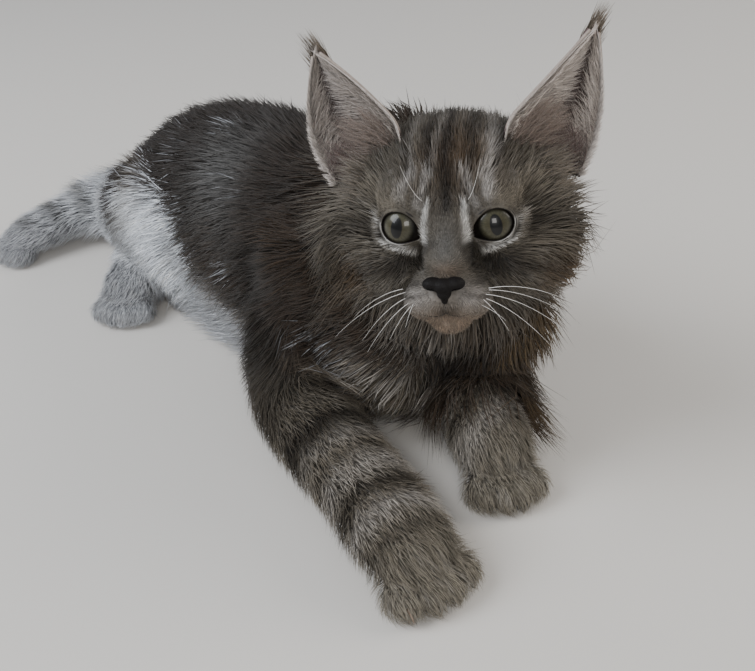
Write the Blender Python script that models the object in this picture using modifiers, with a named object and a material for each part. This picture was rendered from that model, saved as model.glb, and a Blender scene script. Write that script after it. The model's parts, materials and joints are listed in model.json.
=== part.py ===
# Life-size model of a Maine Coon kitten lying on its belly with its head raised. Both hind feet are out
# to its right, the farther one stretched back, and its tail lies along its left side.
# Metres, +Z up. The origin is on the floor under the chest, the cat faces -Y and its left side is +X.
import math
from functools import partial

import bpy
import bmesh
import numpy as np
from mathutils import Matrix, Vector
from mathutils.bvhtree import BVHTree

MM = 0.001
GAP = 0.3
CORE_SHARE = 0.45
LONG_COAT = 7

# All sizes below are in millimetres and degrees.
# Stations of a limb: centre x, y, z, half width and half height of the flesh, depth of the coat on it.
TRUNK = (
    (-3, -34, 44, 16, 24, 13),
    (-1, -18, 47, 29, 38, 14),
    (6, 12, 55, 38, 51, 13),
    (11, 58, 58, 41, 57, 13),
    (13, 104, 55, 41, 54, 13),
    (13, 144, 50, 41, 48, 12),
    (7, 178, 41, 35, 34, 10),
    (-5, 203, 32, 27, 24, 10),
    (-14, 222, 29, 16, 19, 9),
)
NECK = (
    (12, 14, 81, 35, 34, 15),
    (12, -10, 91, 31, 32, 17),
    (12, -38, 102, 29, 29, 14),
)
TAIL = (
    (0, 210, 42, 13, 13, 9),
    (10, 231, 37, 10, 10, 13),
    (26, 245, 28, 8, 8, 14),
    (48, 247, 20, 7.5, 7.5, 14),
    (70, 234, 18, 7, 7, 14),
    (85, 210, 17.5, 6.5, 6.5, 13),
    (92, 182, 16.5, 5.6, 5.6, 12),
    (94, 154, 15, 4.6, 4.6, 11),
    (92, 128, 12.5, 3, 3, 8.5),
    (88, 110, 9, 2, 2, 4),
)
FORELEG_RIGHT = (
    (-31, 6, 56, 15, 20, 9),
    (-39, 0, 36, 17, 20, 7),
    (-46, -14, 23, 17, 17, 6),
    (-50, -48, 20, 18, 16, 6),
    (-55, -84, 18.5, 16.5, 15, 5.5),
    (-58, -104, 17, 18, 13.5, 4.5),
)
FORELEG_LEFT = (
    (37, 4, 54, 15, 20, 9),
    (43, -4, 34, 18, 20, 7),
    (42, -20, 23, 17, 17, 6),
    (28, -50, 20, 16, 15.5, 5),
    (15, -72, 18.5, 14.5, 14.5, 4.5),
    (8, -86, 17, 16, 13, 4),
)
HIND_LEG_RIGHT = (
    (-18, 176, 26, 15, 15, 6),
    (-10, 197, 20, 13, 14, 5),
    (-22, 186, 17, 12, 13, 5),
    (-38, 169, 15, 12.5, 12, 4.5),
    (-46, 160, 14, 15, 11, 4),
)
HIND_LEG_LEFT = (
    (26, 186, 34, 15, 18, 6),
    (12, 214, 30, 16, 18, 7),
    (-4, 244, 25, 14, 16, 8),
    (-22, 260, 20, 12.5, 14, 7),
    (-40, 266, 16.5, 11.5, 12.5, 6),
    (-54, 267, 14.5, 12.5, 11.5, 5),
    (-64, 267, 13, 14, 10.5, 4),
)
BELLY = (
    (4, -2, 14, 22, 12, 13),
    (7, 24, 14, 25, 12, 13),
    (9, 60, 15, 31, 13, 17),
    (12, 104, 15, 33, 13, 17),
    (12, 144, 15, 32, 13, 15),
    (7, 172, 14, 26, 12, 11),
)
# Bulges of muscle: centre, radii, turn about Z, depth of the coat.
RUFF = ((12, -56, 82), (34, 24, 22), 47.5, 14)
BIB = ((28, -56, 58), (22, 18, 24), 47.5, 14)
WITHERS = ((33, 2, 101), (30, 26, 26), 20, 14)
THIGH_RIGHT = ((-22, 158, 42), (20, 42, 38), -8, 9)
THIGH_LEFT = ((32, 164, 42), (20, 42, 38), 6, 9)
SHOULDER_RIGHT = ((-25, 6, 66), (15, 20, 30), 0, 9)
SHOULDER_LEFT = ((33, 6, 66), (15, 20, 30), 0, 9)
# Paws: centre of the knuckles, heading from -Y towards -X, half width and length of the toes.
PAWS = {
    "foreleg_right": ((-58.5, -111, 14), 4, 20, 17),
    "foreleg_left": ((5.5, -91, 14), 22, 17, 17),
    "hind_leg_right": ((-49.5, 157, 12.5), 49, 17, 16),
    "hind_leg_left": ((-68, 267, 12.5), 88, 16, 14),
}
TOE_RADIUS = 6.2
TOE_COUNT = 4
TOE_FAN = 13
PAW_COAT = 3
# How much smaller than the paw the ball of its back is, how far the outer toes fall behind, how long
# a toe is for its width, and the shares of the coat on it.
PAW_INSET = (3, 3, 2)
TOE_ARC = 0.22
TOE_STRETCH = 1.4
TOE_COAT = (0.3, 0.5, 0.6)

# Head: place and turn of its centre. Its own frame has the nose at -Y, the crown at +Z, its left at +X.
HEAD_CENTRE = (12, -62, 115)
HEAD_YAW = 47.5
HEAD_PITCH = 13
HEAD_ROLL = 3.3
# Balls that make the head: centre, radii, depth of the coat. A third entry of True mirrors the ball.
SKULL = (
    ((0, 6, 7), (35, 36, 31), 5, False),
    ((22, 0, -9), (20, 23, 19), 8, True),
    ((16, -22, 14), (11, 9, 8), 2, True),
    ((0, -27, 4), (11, 13, 11), 1.5, False),
    ((0, -35, -6), (9, 11, 8), 1.2, False),
    ((0, -33, -20), (14, 15, 10), 2, False),
    ((7.5, -39, -21.5), (9, 8.5, 7.5), 1.8, True),
    ((0, -35, -29.5), (8, 8, 6), 2.5, False),
    ((22, -19, -14), (12, 10, 12), 4, True),
)
EYE_X = 17.6
EYE_Y = -23.5
EYE_Z = 4
EYE_RADIUS = 9.4
EYE_OUTWARD = 14
EYE_UP = 4
LID_THICK = 1.5
LID_OPENING = (7.0, 6.2)
LID_SLANT = 9
NOSTRIL = ((4.1, -50.6, -14.3), (1.4, 2.2, 0.9))
MOUTH_CORNER = 15
MOUTH_MIDDLE = -24.5
MOUTH_DEPTH = 0.8

# Ears: middle of the base, how far they open and lean, in the head's frame.
EAR_BASE = (33, 5, 27)
EAR_TIP = (53, 7, 68)
EAR_HALF_WIDTH = 19
EAR_CUP = 12
EAR_WALL = 1.6
EAR_FACING = 24
# The ear loses this share of its width by the tip, and more quickly with the higher power.
EAR_TAPER = (0.94, 1.45)
# The share of the cup's depth gone by the tip, and the power of its curve across.
EAR_CURVE = (0.6, 2.2)

# Steps of the build.
LIMB_STEP = 5
VOXEL = 2.0
SMOOTHING = 8
CORE_FACES = 3300
FLOOR_DEPTH = 60
DETAIL_KEPT = 0.5
HULL_SEGMENTS = 10
HULL_STEP = 60
REGION_MARGIN = 4
NECK_SEAM = (7, 2, 76)
NECK_ROOT = (8, 16, 76)
TAIL_BEND = 4
NECK_DRUM = (84, 110)
EAR_ROOT = -0.2
EAR_GRID = (6, 6)
EAR_SWEEP = 2
# Balls that make the nose, in the head's frame; the first is mirrored.
NOSE_PAD = (
    ((3.8, -47.6, -13.4), (4.2, 3.4, 3.2)),
    ((0, -48.2, -14.0), (4.4, 3.4, 3.2)),
    ((0, -47.2, -17.2), (3.2, 3.0, 2.8)),
)
NOSE_VOXEL = 0.7
NOSE_FACES = 260
MOUTH_DIP = 2.6
# The furrow under the nose: across, and the height of its top.
FURROW = (0.07, -20)

# Locks of the long coat: how far apart, length, width, thickness at the root, most turn off the lie.
LOCKS = {
    "head": (14, 24, 10, 2.6, 14),
    "neck": (18, 36, 14, 3.2, 16),
    "torso": (26, 43, 19, 3.6, 16),
    "foreleg_left": (20, 28, 13, 2.8, 12),
    "foreleg_right": (20, 28, 13, 2.8, 12),
    "hind_leg_left": (21, 30, 14, 3, 14),
    "hind_leg_right": (21, 30, 14, 3, 14),
    "tail": (18, 36, 11, 2.8, 14),
}
LOCK_ORDER = (
    "head",
    "neck",
    "torso",
    "foreleg_right",
    "foreleg_left",
    "hind_leg_right",
    "hind_leg_left",
    "tail",
)
# Where they grow: above this height and off the underside, then the bounds on each part.
LOCK_LOWEST = 7
UNDERSIDE = -0.6
CHEEK_BOUNDS = (24, -14, 12)
ELBOW_BOUNDS = (30, -26)
HOCK_HEIGHT = 26
# How they lie, across, back and up: on the cheek, and added on the neck, then down the side.
CHEEK_LIE = (0.5, 0.7, -0.6)
NECK_LIE = (0, 0.25, -0.55)
SIDE_LIE = (0.8, -0.75, -0.55)
SPREAD_HEIGHT = 26
LOCK_SINK = 2.6
# Along a lock: share of its length, of its width, of its thickness.
LOCK_RINGS = ((0, 0.75, 0.5), (0.36, 1, 1), (0.74, 0.74, 0.75))
LOCK_TRIES = 9000
LOCK_CLEARANCE = 0.5
LOCK_FLOOR = 0.6
ON_SKIN = 0.2
NEAR = 12
LOCK_SAMPLES = 4
LOCK_BEND = 0.4
LOCK_LIFT = 0.8
COAT_REACH = 30
COAT_UNKNOWN = 5
SHORTER = (1, 0.8, 0.6)
SEED = 16
# Hair inside the ear: across (-1 at the edge nearer the crown) and up at the root, then at the tip.
EAR_HAIRS = ((-0.84, 0.2, 0.6, 0.46), (-0.84, 0.38, 0.5, 0.66), (-0.82, 0.56, 0.4, 0.82))
EAR_HAIR_SIZE = (6, 1.2)
EAR_HAIR_LIFT = 0.75
# Tufts on the tip of the ear: turn off its line, length, width, thickness.
EAR_TUFTS = ((-12, 13, 4.4, 1.5), (2, 16, 4, 1.5), (15, 12, 4.4, 1.5))
EAR_TUFT_ROOT = 0.86
EAR_TUFT_BACK = 0.15

# Colours and roughness of the parts.
FINISHES = {
    "fur": ((0.12, 0.10, 0.09), 0.85),
    "eye_left": ((0.16, 0.17, 0.11), 0.08),
    "eye_right": ((0.16, 0.17, 0.11), 0.08),
    "nose": ((0.03, 0.025, 0.025), 0.45),
    "ear_left": ((0.22, 0.18, 0.18), 0.8),
    "ear_right": ((0.22, 0.18, 0.18), 0.8),
}


def clear_scene():
    for thing in list(bpy.data.objects):
        bpy.data.objects.remove(thing, do_unlink=True)


def new_collection(name):
    made = bpy.data.collections.new(name)
    bpy.context.scene.collection.children.link(made)
    return made


def add_object(name, bm, home):
    mesh = bpy.data.meshes.new(name)
    bm.to_mesh(mesh)
    bm.free()
    made = bpy.data.objects.new(name, mesh)
    home.objects.link(made)
    return made


def apply_modifiers(thing):
    graph = bpy.context.evaluated_depsgraph_get()
    mesh = bpy.data.meshes.new_from_object(thing.evaluated_get(graph))
    thing.modifiers.clear()
    thing.data = mesh
    return thing


def copy_of(thing, name):
    made = bpy.data.objects.new(name, thing.data.copy())
    cutters.objects.link(made)
    return made


def boolean(thing, operation, other, solver="EXACT"):
    """Joins, cuts or keeps what two closed shapes share. The other shape may be a whole collection."""
    step = thing.modifiers.new(operation.lower(), "BOOLEAN")
    step.operation = operation
    step.solver = solver
    if isinstance(other, bpy.types.Collection):
        step.operand_type = "COLLECTION"
        step.collection = other
    else:
        step.object = other
    return apply_modifiers(thing)


def volume_of(shell):
    """Three times the volume inside the faces of a closed surface."""
    return abs(sum(face.calc_center_median().dot(face.normal) * face.calc_area() for face in shell))


def keep_largest(thing):
    """Drops every closed surface of the mesh but the one with the most volume."""
    bm = bmesh.new()
    bm.from_mesh(thing.data)
    bm.faces.ensure_lookup_table()
    unseen = set(bm.faces)
    shells = []
    while unseen:
        rim = [unseen.pop()]
        shell = list(rim)
        while rim:
            for edge in rim.pop().edges:
                for face in edge.link_faces:
                    if face in unseen:
                        unseen.remove(face)
                        rim.append(face)
                        shell.append(face)
        shells.append(shell)
    shells.sort(key=volume_of, reverse=True)
    loose = {vert for shell in shells[1:] for face in shell for vert in face.verts}
    bmesh.ops.delete(bm, geom=list(loose), context="VERTS")
    bm.to_mesh(thing.data)
    bm.free()
    return thing


def turned(yaw, pitch=0, roll=0):
    """Yaw turns -Y towards -X, pitch lifts -Y, roll lowers +X."""
    about_z = Matrix.Rotation(math.radians(-yaw), 3, "Z")
    about_x = Matrix.Rotation(math.radians(-pitch), 3, "X")
    about_y = Matrix.Rotation(math.radians(-roll), 3, "Y")
    return about_z @ about_x @ about_y


HEAD_FRAME = Matrix.Translation(Vector(HEAD_CENTRE)) @ turned(HEAD_YAW, HEAD_PITCH, HEAD_ROLL).to_4x4()


def ball(places, centre, radii, turn=None, frame=None):
    """Notes the place of one ball: its centre, radii and turn, in metres."""
    place = Matrix.Translation(Vector(centre)) @ (turn or Matrix.Identity(3)).to_4x4()
    places.append(Matrix.Scale(MM, 4) @ (frame or Matrix()) @ place @ Matrix.Diagonal((*radii, 1)))


def add_balls(name, places, segments=20):
    """One mesh with a copy of the unit ball at every place."""
    bm = bmesh.new()
    bmesh.ops.create_uvsphere(bm, u_segments=segments, v_segments=segments * 3 // 5, radius=1)
    points = np.array([(*vert.co, 1) for vert in bm.verts])
    faces = [[vert.index for vert in face.verts] for face in bm.faces]
    bm.free()
    moved = [points @ np.array(place).T for place in places]
    starts = len(points) * np.arange(len(places))
    copies = [[int(start) + index for index in face] for start in starts for face in faces]
    mesh = bpy.data.meshes.new(name)
    mesh.from_pydata(np.vstack(moved)[:, :3].tolist(), [], copies)
    made = bpy.data.objects.new(name, mesh)
    cutters.objects.link(made)
    return made


def smooth_rows(stations, step):
    """Rows along a smooth curve through the stations, about a step apart."""
    rows = np.array(stations, float)
    ends = np.vstack((2 * rows[:1] - rows[1:2], rows, 2 * rows[-1:] - rows[-2:-1]))
    made = []
    for before, start, end, after in zip(ends, ends[1:], ends[2:], ends[3:]):
        count = max(1, round(float(np.linalg.norm((end - start)[:3])) / step))
        for t in np.arange(count) / count:
            bend = (2 * before - 5 * start + 4 * end - after) * t * t
            twist = (3 * start - before - 3 * end + after) * t * t * t
            made.append(0.5 * (2 * start + (end - before) * t + bend + twist))
    made.append(rows[-1])
    return np.array(made)


def coat_left(coat, share):
    """The coat that is part of the core: a share where it is long, all of it where it is short."""
    return coat * share if coat >= LONG_COAT else coat


def limb(places, stations, share, extra=0, step=LIMB_STEP):
    """A string of close balls along the stations, thick as the flesh and a share of its coat."""
    rows = smooth_rows(stations, step)
    for row, ahead in zip(rows, np.gradient(rows[:, :3], axis=0)):
        turn = Vector(ahead).to_track_quat("Y", "Z").to_matrix()
        across = row[3] + coat_left(row[5], share) + extra
        upward = row[4] + coat_left(row[5], share) + extra
        ball(places, row[:3], (across, min(across, upward), upward), turn)


def muscle(places, bulge, share, extra=0):
    centre, radii, yaw, coat = bulge
    grown = [radius + coat_left(coat, share) + extra for radius in radii]
    ball(places, centre, grown, turned(yaw))


def paw(places, sizes, extra=0):
    centre, heading, half_width, length = sizes
    turn = turned(heading)
    coat = PAW_COAT + extra
    back = [size - inset + coat for size, inset in zip((half_width, half_width, centre[2]), PAW_INSET)]
    ball(places, centre, back, turn)
    for number in range(TOE_COUNT):
        side = 2 * number / (TOE_COUNT - 1) - 1
        across = side * (half_width - TOE_RADIUS)
        ahead = -length * (1 - TOE_ARC * side * side)
        place = Vector(centre) + turn @ Vector((across, ahead, TOE_RADIUS - centre[2]))
        sizes = (TOE_RADIUS, TOE_STRETCH * TOE_RADIUS, TOE_RADIUS)
        radii = [size + share * coat for size, share in zip(sizes, TOE_COAT)]
        ball(places, place, radii, turned(heading - TOE_FAN * side))


def skull(places, share, extra=0):
    for centre, radii, coat, mirrored in SKULL:
        for side in (1, -1) if mirrored else (1,):
            grown = [radius + coat_left(coat, share) + extra for radius in radii]
            ball(places, (side * centre[0], *centre[1:]), grown, frame=HEAD_FRAME)


# Stations, bulge, and the station where the limb bends most.
LEGS = {
    "foreleg_right": (FORELEG_RIGHT, SHOULDER_RIGHT, 2),
    "foreleg_left": (FORELEG_LEFT, SHOULDER_LEFT, 2),
    "hind_leg_right": (HIND_LEG_RIGHT, THIGH_RIGHT, 0),
    "hind_leg_left": (HIND_LEG_LEFT, THIGH_LEFT, 2),
}


def leg(places, name, share, extra=0):
    stations, bulge, _ = LEGS[name]
    limb(places, stations, share, extra)
    muscle(places, bulge, share, extra)
    paw(places, PAWS[name], extra)


def fuse(thing, voxel, smoothing):
    """Makes one smooth closed surface of balls that overlap."""
    remesh = thing.modifiers.new("fuse", "REMESH")
    remesh.mode = "VOXEL"
    remesh.voxel_size = voxel * MM
    smooth = thing.modifiers.new("smooth", "SMOOTH")
    smooth.factor = 0.5
    smooth.iterations = smoothing
    return apply_modifiers(thing)


def thin_out(thing, faces, detail=None):
    """Fewer triangles, with more of them left where detail(point) is near 1."""
    points = thing.data.vertices
    cut = thing.modifiers.new("fewer", "DECIMATE")
    triangles = sum(len(face.vertices) - 2 for face in thing.data.polygons)
    cut.ratio = min(1, faces / triangles)
    if detail:
        group = thing.vertex_groups.new(name="detail")
        for index, point in enumerate(points):
            group.add([index], 1 - DETAIL_KEPT * detail(point.co), "REPLACE")
        cut.vertex_group = group.name
    apply_modifiers(thing)
    thing.vertex_groups.clear()
    return thing


def detail_at(point):
    """1 on the face and 0.5 on the paws, falling to 0 on the trunk."""
    face = HEAD_FRAME @ Vector((0, -25, -6))
    away = (point / MM - face).length
    nearest = min((point / MM - Vector(sizes[0])).length for sizes in PAWS.values())
    return max(0.0, min(1.0, (75 - away) / 40), 0.5 * min(1.0, (32 - nearest) / 15))


def whole_cat(name, share):
    places = []
    for stations in (TRUNK, BELLY, NECK, TAIL):
        limb(places, stations, share)
    for leg_name in LEGS:
        leg(places, leg_name, share)
    for bulge in (RUFF, BIB, WITHERS):
        muscle(places, bulge, share)
    skull(places, share)
    cat = fuse(add_balls(name, places), VOXEL, SMOOTHING)
    thin_out(cat, CORE_FACES, detail_at)
    return boolean(cat, "DIFFERENCE", floor_block())


def floor_block():
    bm = bmesh.new()
    bmesh.ops.create_cube(bm, size=1, matrix=Matrix.Translation((0, 0.07, -FLOOR_DEPTH * MM / 2))
                          @ Matrix.Diagonal((0.8, 0.8, FLOOR_DEPTH * MM, 1)))
    return add_object("below_the_floor", bm, cutters)


def wider(thing):
    """A copy grown by the gap all round."""
    grown = copy_of(thing, "wider_" + thing.name)
    grow = grown.modifiers.new("gap", "DISPLACE")
    grow.mid_level = 0
    grow.strength = GAP * MM
    return apply_modifiers(grown)


def hull(name, places):
    """The tightest shape with no hollows round all the balls."""
    balls = add_balls(name, places, HULL_SEGMENTS)
    bm = bmesh.new()
    for vert in balls.data.vertices:
        bm.verts.new(vert.co)
    bpy.data.objects.remove(balls)
    found = bmesh.ops.convex_hull(bm, input=bm.verts, use_existing_faces=False)
    inside = set(found["geom_interior"] + found["geom_unused"])
    unused = [item for item in inside if isinstance(item, bmesh.types.BMVert)]
    bmesh.ops.delete(bm, geom=unused, context="VERTS")
    bmesh.ops.recalc_face_normals(bm, faces=bm.faces)
    return add_object(name, bm, cutters)


def region(name, groups):
    """One closed shape round the balls of each group, joined."""
    first, *others = [hull(name, group) for group in groups]
    for other in others:
        boolean(first, "UNION", other)
    return first


def leg_groups(name, extra):
    """The bulge, the upper limb if it bends, and the lower limb with its paw."""
    stations, bulge, bend = LEGS[name]
    bulk, upper, lower = [], [], []
    muscle(bulk, bulge, CORE_SHARE, extra)
    limb(lower, stations[bend:], CORE_SHARE, extra, HULL_STEP)
    paw(lower, PAWS[name], extra)
    if not bend:
        return bulk, lower
    limb(upper, stations[:bend + 1], CORE_SHARE, extra, HULL_STEP)
    return bulk, upper, lower


def head_groups(extra):
    places = []
    skull(places, CORE_SHARE, extra)
    return (places,)


def tail_groups(extra):
    """The tail before and after its bend."""
    root, end = [], []
    limb(root, TAIL[1:TAIL_BEND + 1], CORE_SHARE, extra, HULL_STEP)
    limb(end, TAIL[TAIL_BEND:], CORE_SHARE, extra, HULL_STEP)
    return root, end


def neck_block(grown):
    """A drum across the neck, open to the head in front and flat against the torso."""
    start = Vector(NECK_SEAM)
    ahead = (Vector(HEAD_CENTRE) - Vector(NECK_ROOT)).normalized()
    turn = ahead.to_track_quat("Z", "Y").to_matrix().to_4x4()
    middle = start + ahead * (NECK_DRUM[1] / 2)
    bm = bmesh.new()
    place = Matrix.Scale(MM, 4) @ Matrix.Translation(middle) @ turn
    bmesh.ops.create_cone(bm, cap_ends=True, segments=40, radius1=NECK_DRUM[0] + grown,
                          radius2=NECK_DRUM[0] + grown, depth=NECK_DRUM[1] + 2 * grown, matrix=place)
    return add_object("drum", bm, cutters)


def build_regions():
    """Volumes of the parts, each before what it has the right of way over; the torso is what is left."""
    groups_of = {"head": head_groups}
    for name in LEGS:
        groups_of[name] = partial(leg_groups, name)
    groups_of["tail"] = tail_groups
    regions = {}
    for name, groups in groups_of.items():
        regions[name] = [region("region_" + name, groups(REGION_MARGIN + gap)) for gap in (0, GAP)]
    regions["neck"] = [neck_block(0), neck_block(GAP)]
    return regions


def part_cat(cat, regions):
    """Cuts the whole cat into its parts, each a gap away from the next."""
    nodes = {}
    taken = []
    for name, (held, grown) in regions.items():
        piece = boolean(copy_of(cat, name), "INTERSECT", held)
        for other in taken:
            boolean(piece, "DIFFERENCE", other)
        nodes[name] = keep_largest(piece)
        taken.append(grown)
    torso = copy_of(cat, "torso")
    for other in taken:
        boolean(torso, "DIFFERENCE", other)
    nodes["torso"] = keep_largest(torso)
    return nodes


def head_ball(name, centre, radii, turn=None, segments=14):
    places = []
    ball(places, centre, radii, turn, HEAD_FRAME)
    return add_balls(name, places, segments)


def gaze(side):
    return turned(-side * EYE_OUTWARD, EYE_UP, side * LID_SLANT)


def eye_centre(side):
    return Vector((side * EYE_X, EYE_Y, EYE_Z))


def lid_opening(side):
    """An oval rod from the middle of the eye out through the lids."""
    out = 2 * EYE_RADIUS
    bm = bmesh.new()
    place = Matrix.Scale(MM, 4) @ HEAD_FRAME @ Matrix.Translation(eye_centre(side)) @ gaze(side).to_4x4()
    place = place @ Matrix.Translation((0, -out / 2, 0)) @ Matrix.Rotation(math.radians(90), 4, "X")
    place = place @ Matrix.Diagonal((*LID_OPENING, out, 1))
    bmesh.ops.create_cone(bm, cap_ends=True, segments=20, radius1=1, radius2=1, depth=1, matrix=place)
    return add_object("opening", bm, cutters)


def add_eye(head, side, name):
    """Swells the head over the eyeball, hollows it, and opens the lids."""
    centre, turn = eye_centre(side), gaze(side) @ Matrix.Rotation(math.radians(90), 3, "X")
    lid, hollow, eye = ([EYE_RADIUS + more] * 3 for more in (GAP + LID_THICK, GAP, 0))
    boolean(head, "UNION", head_ball("lid", centre, lid, turn))
    boolean(head, "DIFFERENCE", head_ball("hollow", centre, hollow, turn))
    boolean(head, "DIFFERENCE", lid_opening(side))
    return head_ball(name, centre, eye, turn)


def nose_shape(name, grown):
    """A broad pad with a narrow foot, in one piece."""
    places = []
    for centre, radii in NOSE_PAD:
        grown_radii = [radius + grown for radius in radii]
        for side in (1, -1) if centre[0] else (1,):
            ball(places, (side * centre[0], *centre[1:]), grown_radii, frame=HEAD_FRAME)
    return thin_out(fuse(add_balls(name, places), NOSE_VOXEL, 2), NOSE_FACES)


def add_nose(head):
    nose = nose_shape("nose", 0)
    boolean(head, "DIFFERENCE", nose_shape("nose_place", GAP))
    for side in (1, -1):
        centre, radii = NOSTRIL
        hole = head_ball("nostril", (side * centre[0], *centre[1:]), radii, turned(-side * 35), 10)
        boolean(nose, "DIFFERENCE", hole)
    return nose


def add_mouth(head):
    """Presses the line of the lips and the furrow under the nose into the muzzle."""
    surface = BVHTree.FromObject(head, bpy.context.evaluated_depsgraph_get())
    inward = (HEAD_FRAME.to_3x3() @ Vector((0, 1, 0))).normalized()
    across = np.linspace(-1, 1, 12)
    dip = MOUTH_DIP * np.sin(math.pi * np.abs(across) ** 0.8)
    lip = list(zip(MOUTH_CORNER * across, MOUTH_MIDDLE - dip))
    furrow = [(FURROW[0], z) for z in np.linspace(FURROW[1], MOUTH_MIDDLE + 0.3, 4)]
    for path in (lip, furrow):
        curve = bpy.data.curves.new("line", "CURVE")
        curve.dimensions = "3D"
        curve.bevel_depth = MOUTH_DEPTH * MM
        curve.bevel_resolution = 0
        curve.use_fill_caps = True
        spline = curve.splines.new("POLY")
        spline.points.add(len(path) - 1)
        for point, (x, z) in zip(spline.points, path):
            start = (HEAD_FRAME @ Vector((x, -80, z))) * MM
            point.co = (*surface.ray_cast(start, inward)[0], 1)
        guide = bpy.data.objects.new("guide", curve)
        cutters.objects.link(guide)
        mesh = bpy.data.meshes.new_from_object(guide.evaluated_get(bpy.context.evaluated_depsgraph_get()))
        bpy.data.objects.remove(guide)
        bm = bmesh.new()
        bm.from_mesh(mesh)
        bmesh.ops.remove_doubles(bm, verts=bm.verts, dist=1e-6)
        bmesh.ops.recalc_face_normals(bm, faces=bm.faces)
        boolean(head, "DIFFERENCE", add_object("groove", bm, cutters))


def ear_axes(side):
    """The root of the ear, then its line to the tip, the way across it and the way it faces."""
    base = Vector((side * EAR_BASE[0], *EAR_BASE[1:]))
    tip = Vector((side * EAR_TIP[0], *EAR_TIP[1:]))
    up = tip - base
    facing = turned(-side * EAR_FACING) @ Vector((0, -1, 0))
    facing = (facing - up.normalized() * facing.dot(up.normalized())).normalized()
    return base, up, up.normalized().cross(facing).normalized(), facing


def ear_point(side, u, t, lift=0):
    """Across the ear by u from -1 to 1 and up it by t from 0 to 1; lift 1 is the mouth of the cup."""
    base, up, across, facing = ear_axes(side)
    width = EAR_HALF_WIDTH * (1 - EAR_TAPER[0] * max(t, 0) ** EAR_TAPER[1])
    cup = EAR_CUP * (1 - EAR_CURVE[0] * max(t, 0)) * (1 - abs(u) ** EAR_CURVE[1]) * (1 - lift)
    sweep = EAR_SWEEP * math.sin(math.pi * max(t, 0))
    return base + up * t + across * (u * width) - facing * (cup - EAR_CUP / 2) + across * side * sweep


def ear_locks(side):
    """Paths of the hairs that cross the cup, and of the tufts on the tip."""
    turn = HEAD_FRAME.to_3x3()
    base, up, across, facing = ear_axes(side)
    front = (turn @ facing).normalized()
    plans = []
    for u_root, t_root, u_tip, t_tip in EAR_HAIRS:
        points = []
        for share in [ring[0] for ring in LOCK_RINGS] + [1]:
            u, t = u_root + (u_tip - u_root) * share, t_root + (t_tip - t_root) * share
            points.append(HEAD_FRAME @ ear_point(side, side * u, t, EAR_HAIR_LIFT * share) * MM)
        plans.append((points, [front] * len(points), *EAR_HAIR_SIZE))
    for bend, length, width, thick in EAR_TUFTS:
        root = HEAD_FRAME @ ear_point(side, 0, EAR_TUFT_ROOT) - front * thick / 2
        swing = Matrix.Rotation(math.radians(bend), 3, facing)
        ahead = turn @ (swing @ up.normalized() - facing * EAR_TUFT_BACK)
        points = [(root + ahead * length * share) * MM for share in [ring[0] for ring in LOCK_RINGS] + [1]]
        plans.append((points, [front] * len(points), width, thick))
    return plans


def add_ear(carriers, side, name):
    bm = bmesh.new()
    bmesh.ops.create_grid(bm, x_segments=EAR_GRID[0], y_segments=EAR_GRID[1], size=1)
    for vert in bm.verts:
        u, t = vert.co.x, (vert.co.y + 1) / 2
        vert.co = HEAD_FRAME @ ear_point(side, u, t * (1 - EAR_ROOT) + EAR_ROOT) * MM
    ear = add_object(name, bm, cutters)
    wall = ear.modifiers.new("wall", "SOLIDIFY")
    wall.thickness = EAR_WALL * MM
    wall.offset = 0
    apply_modifiers(ear)
    join_locks(ear, ear_locks(side))
    for other in carriers:
        boolean(ear, "DIFFERENCE", wider(other))
    return keep_largest(ear)


def tail_heading(point):
    rows = smooth_rows(TAIL, LIMB_STEP)[:, :3]
    nearest = int(np.argmin(np.linalg.norm(rows - np.array(point), axis=1)))
    start = max(0, min(nearest, len(rows) - 2))
    return Vector(rows[start + 1] - rows[start]).normalized()


def lie_of_coat(name, point, normal):
    """Which way the hair lies at a point of a part, in millimetres."""
    if name == "head":
        side = math.copysign(1, (HEAD_FRAME.inverted() @ point).x)
        return HEAD_FRAME.to_3x3() @ Vector((side * CHEEK_LIE[0], *CHEEK_LIE[1:]))
    if name == "neck":
        away = (point - Vector(HEAD_CENTRE)).normalized()
        return away + Vector(NECK_LIE)
    if name == "tail":
        return tail_heading(point)
    back, down_leg, down_side = SIDE_LIE
    down = down_leg if name != "torso" else down_side * abs(normal.x)
    spread = max(0.0, 1 - point.z / SPREAD_HEIGHT)
    return Vector((normal.x * spread, back + normal.y * spread, down))


def grows_locks(name, point, normal):
    """Whether the coat is long here: not on the face, the forearms, the feet or under the belly."""
    if point.z < LOCK_LOWEST or normal.z < UNDERSIDE:
        return False
    if name == "head":
        local = HEAD_FRAME.inverted() @ point
        across, front, top = CHEEK_BOUNDS
        return abs(local.x) > across and local.y > front and local.z < top
    if name.startswith("foreleg"):
        return point.z > ELBOW_BOUNDS[0] and point.y > ELBOW_BOUNDS[1]
    if name.startswith("hind_leg"):
        return point.z > HOCK_HEIGHT
    return True


def lock_path(name, root, normal, length, heading_turn, core, outer):
    """Centre points and the normals under them, from the sunk root out to the tip of the coat."""
    turn = Matrix.Rotation(heading_turn, 3, normal)
    place, points, normals, before = root.copy(), [], [], 0
    for share in [ring[0] for ring in LOCK_RINGS] + [1]:
        lie = lie_of_coat(name, place / MM, normal)
        lie = turn @ (lie - normal * lie.dot(normal)).normalized()
        place, under = core.find_nearest(place + lie * ((share - before) * length * MM))[:2]
        if under.dot(normal) < LOCK_BEND:
            return None
        normal = (normal + under).normalized()
        before = share
        hit = outer.ray_cast(place + normal * 0.1 * MM, normal, COAT_REACH * MM)
        depth = hit[3] if hit[3] else COAT_UNKNOWN * MM
        height = -LOCK_SINK * MM + (depth + LOCK_SINK * MM) * share ** LOCK_LIFT
        point = place + normal * height
        point.z = max(point.z, 2 * LOCK_FLOOR * MM)
        points.append(point)
        normals.append(normal)
    return points, normals


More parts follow.
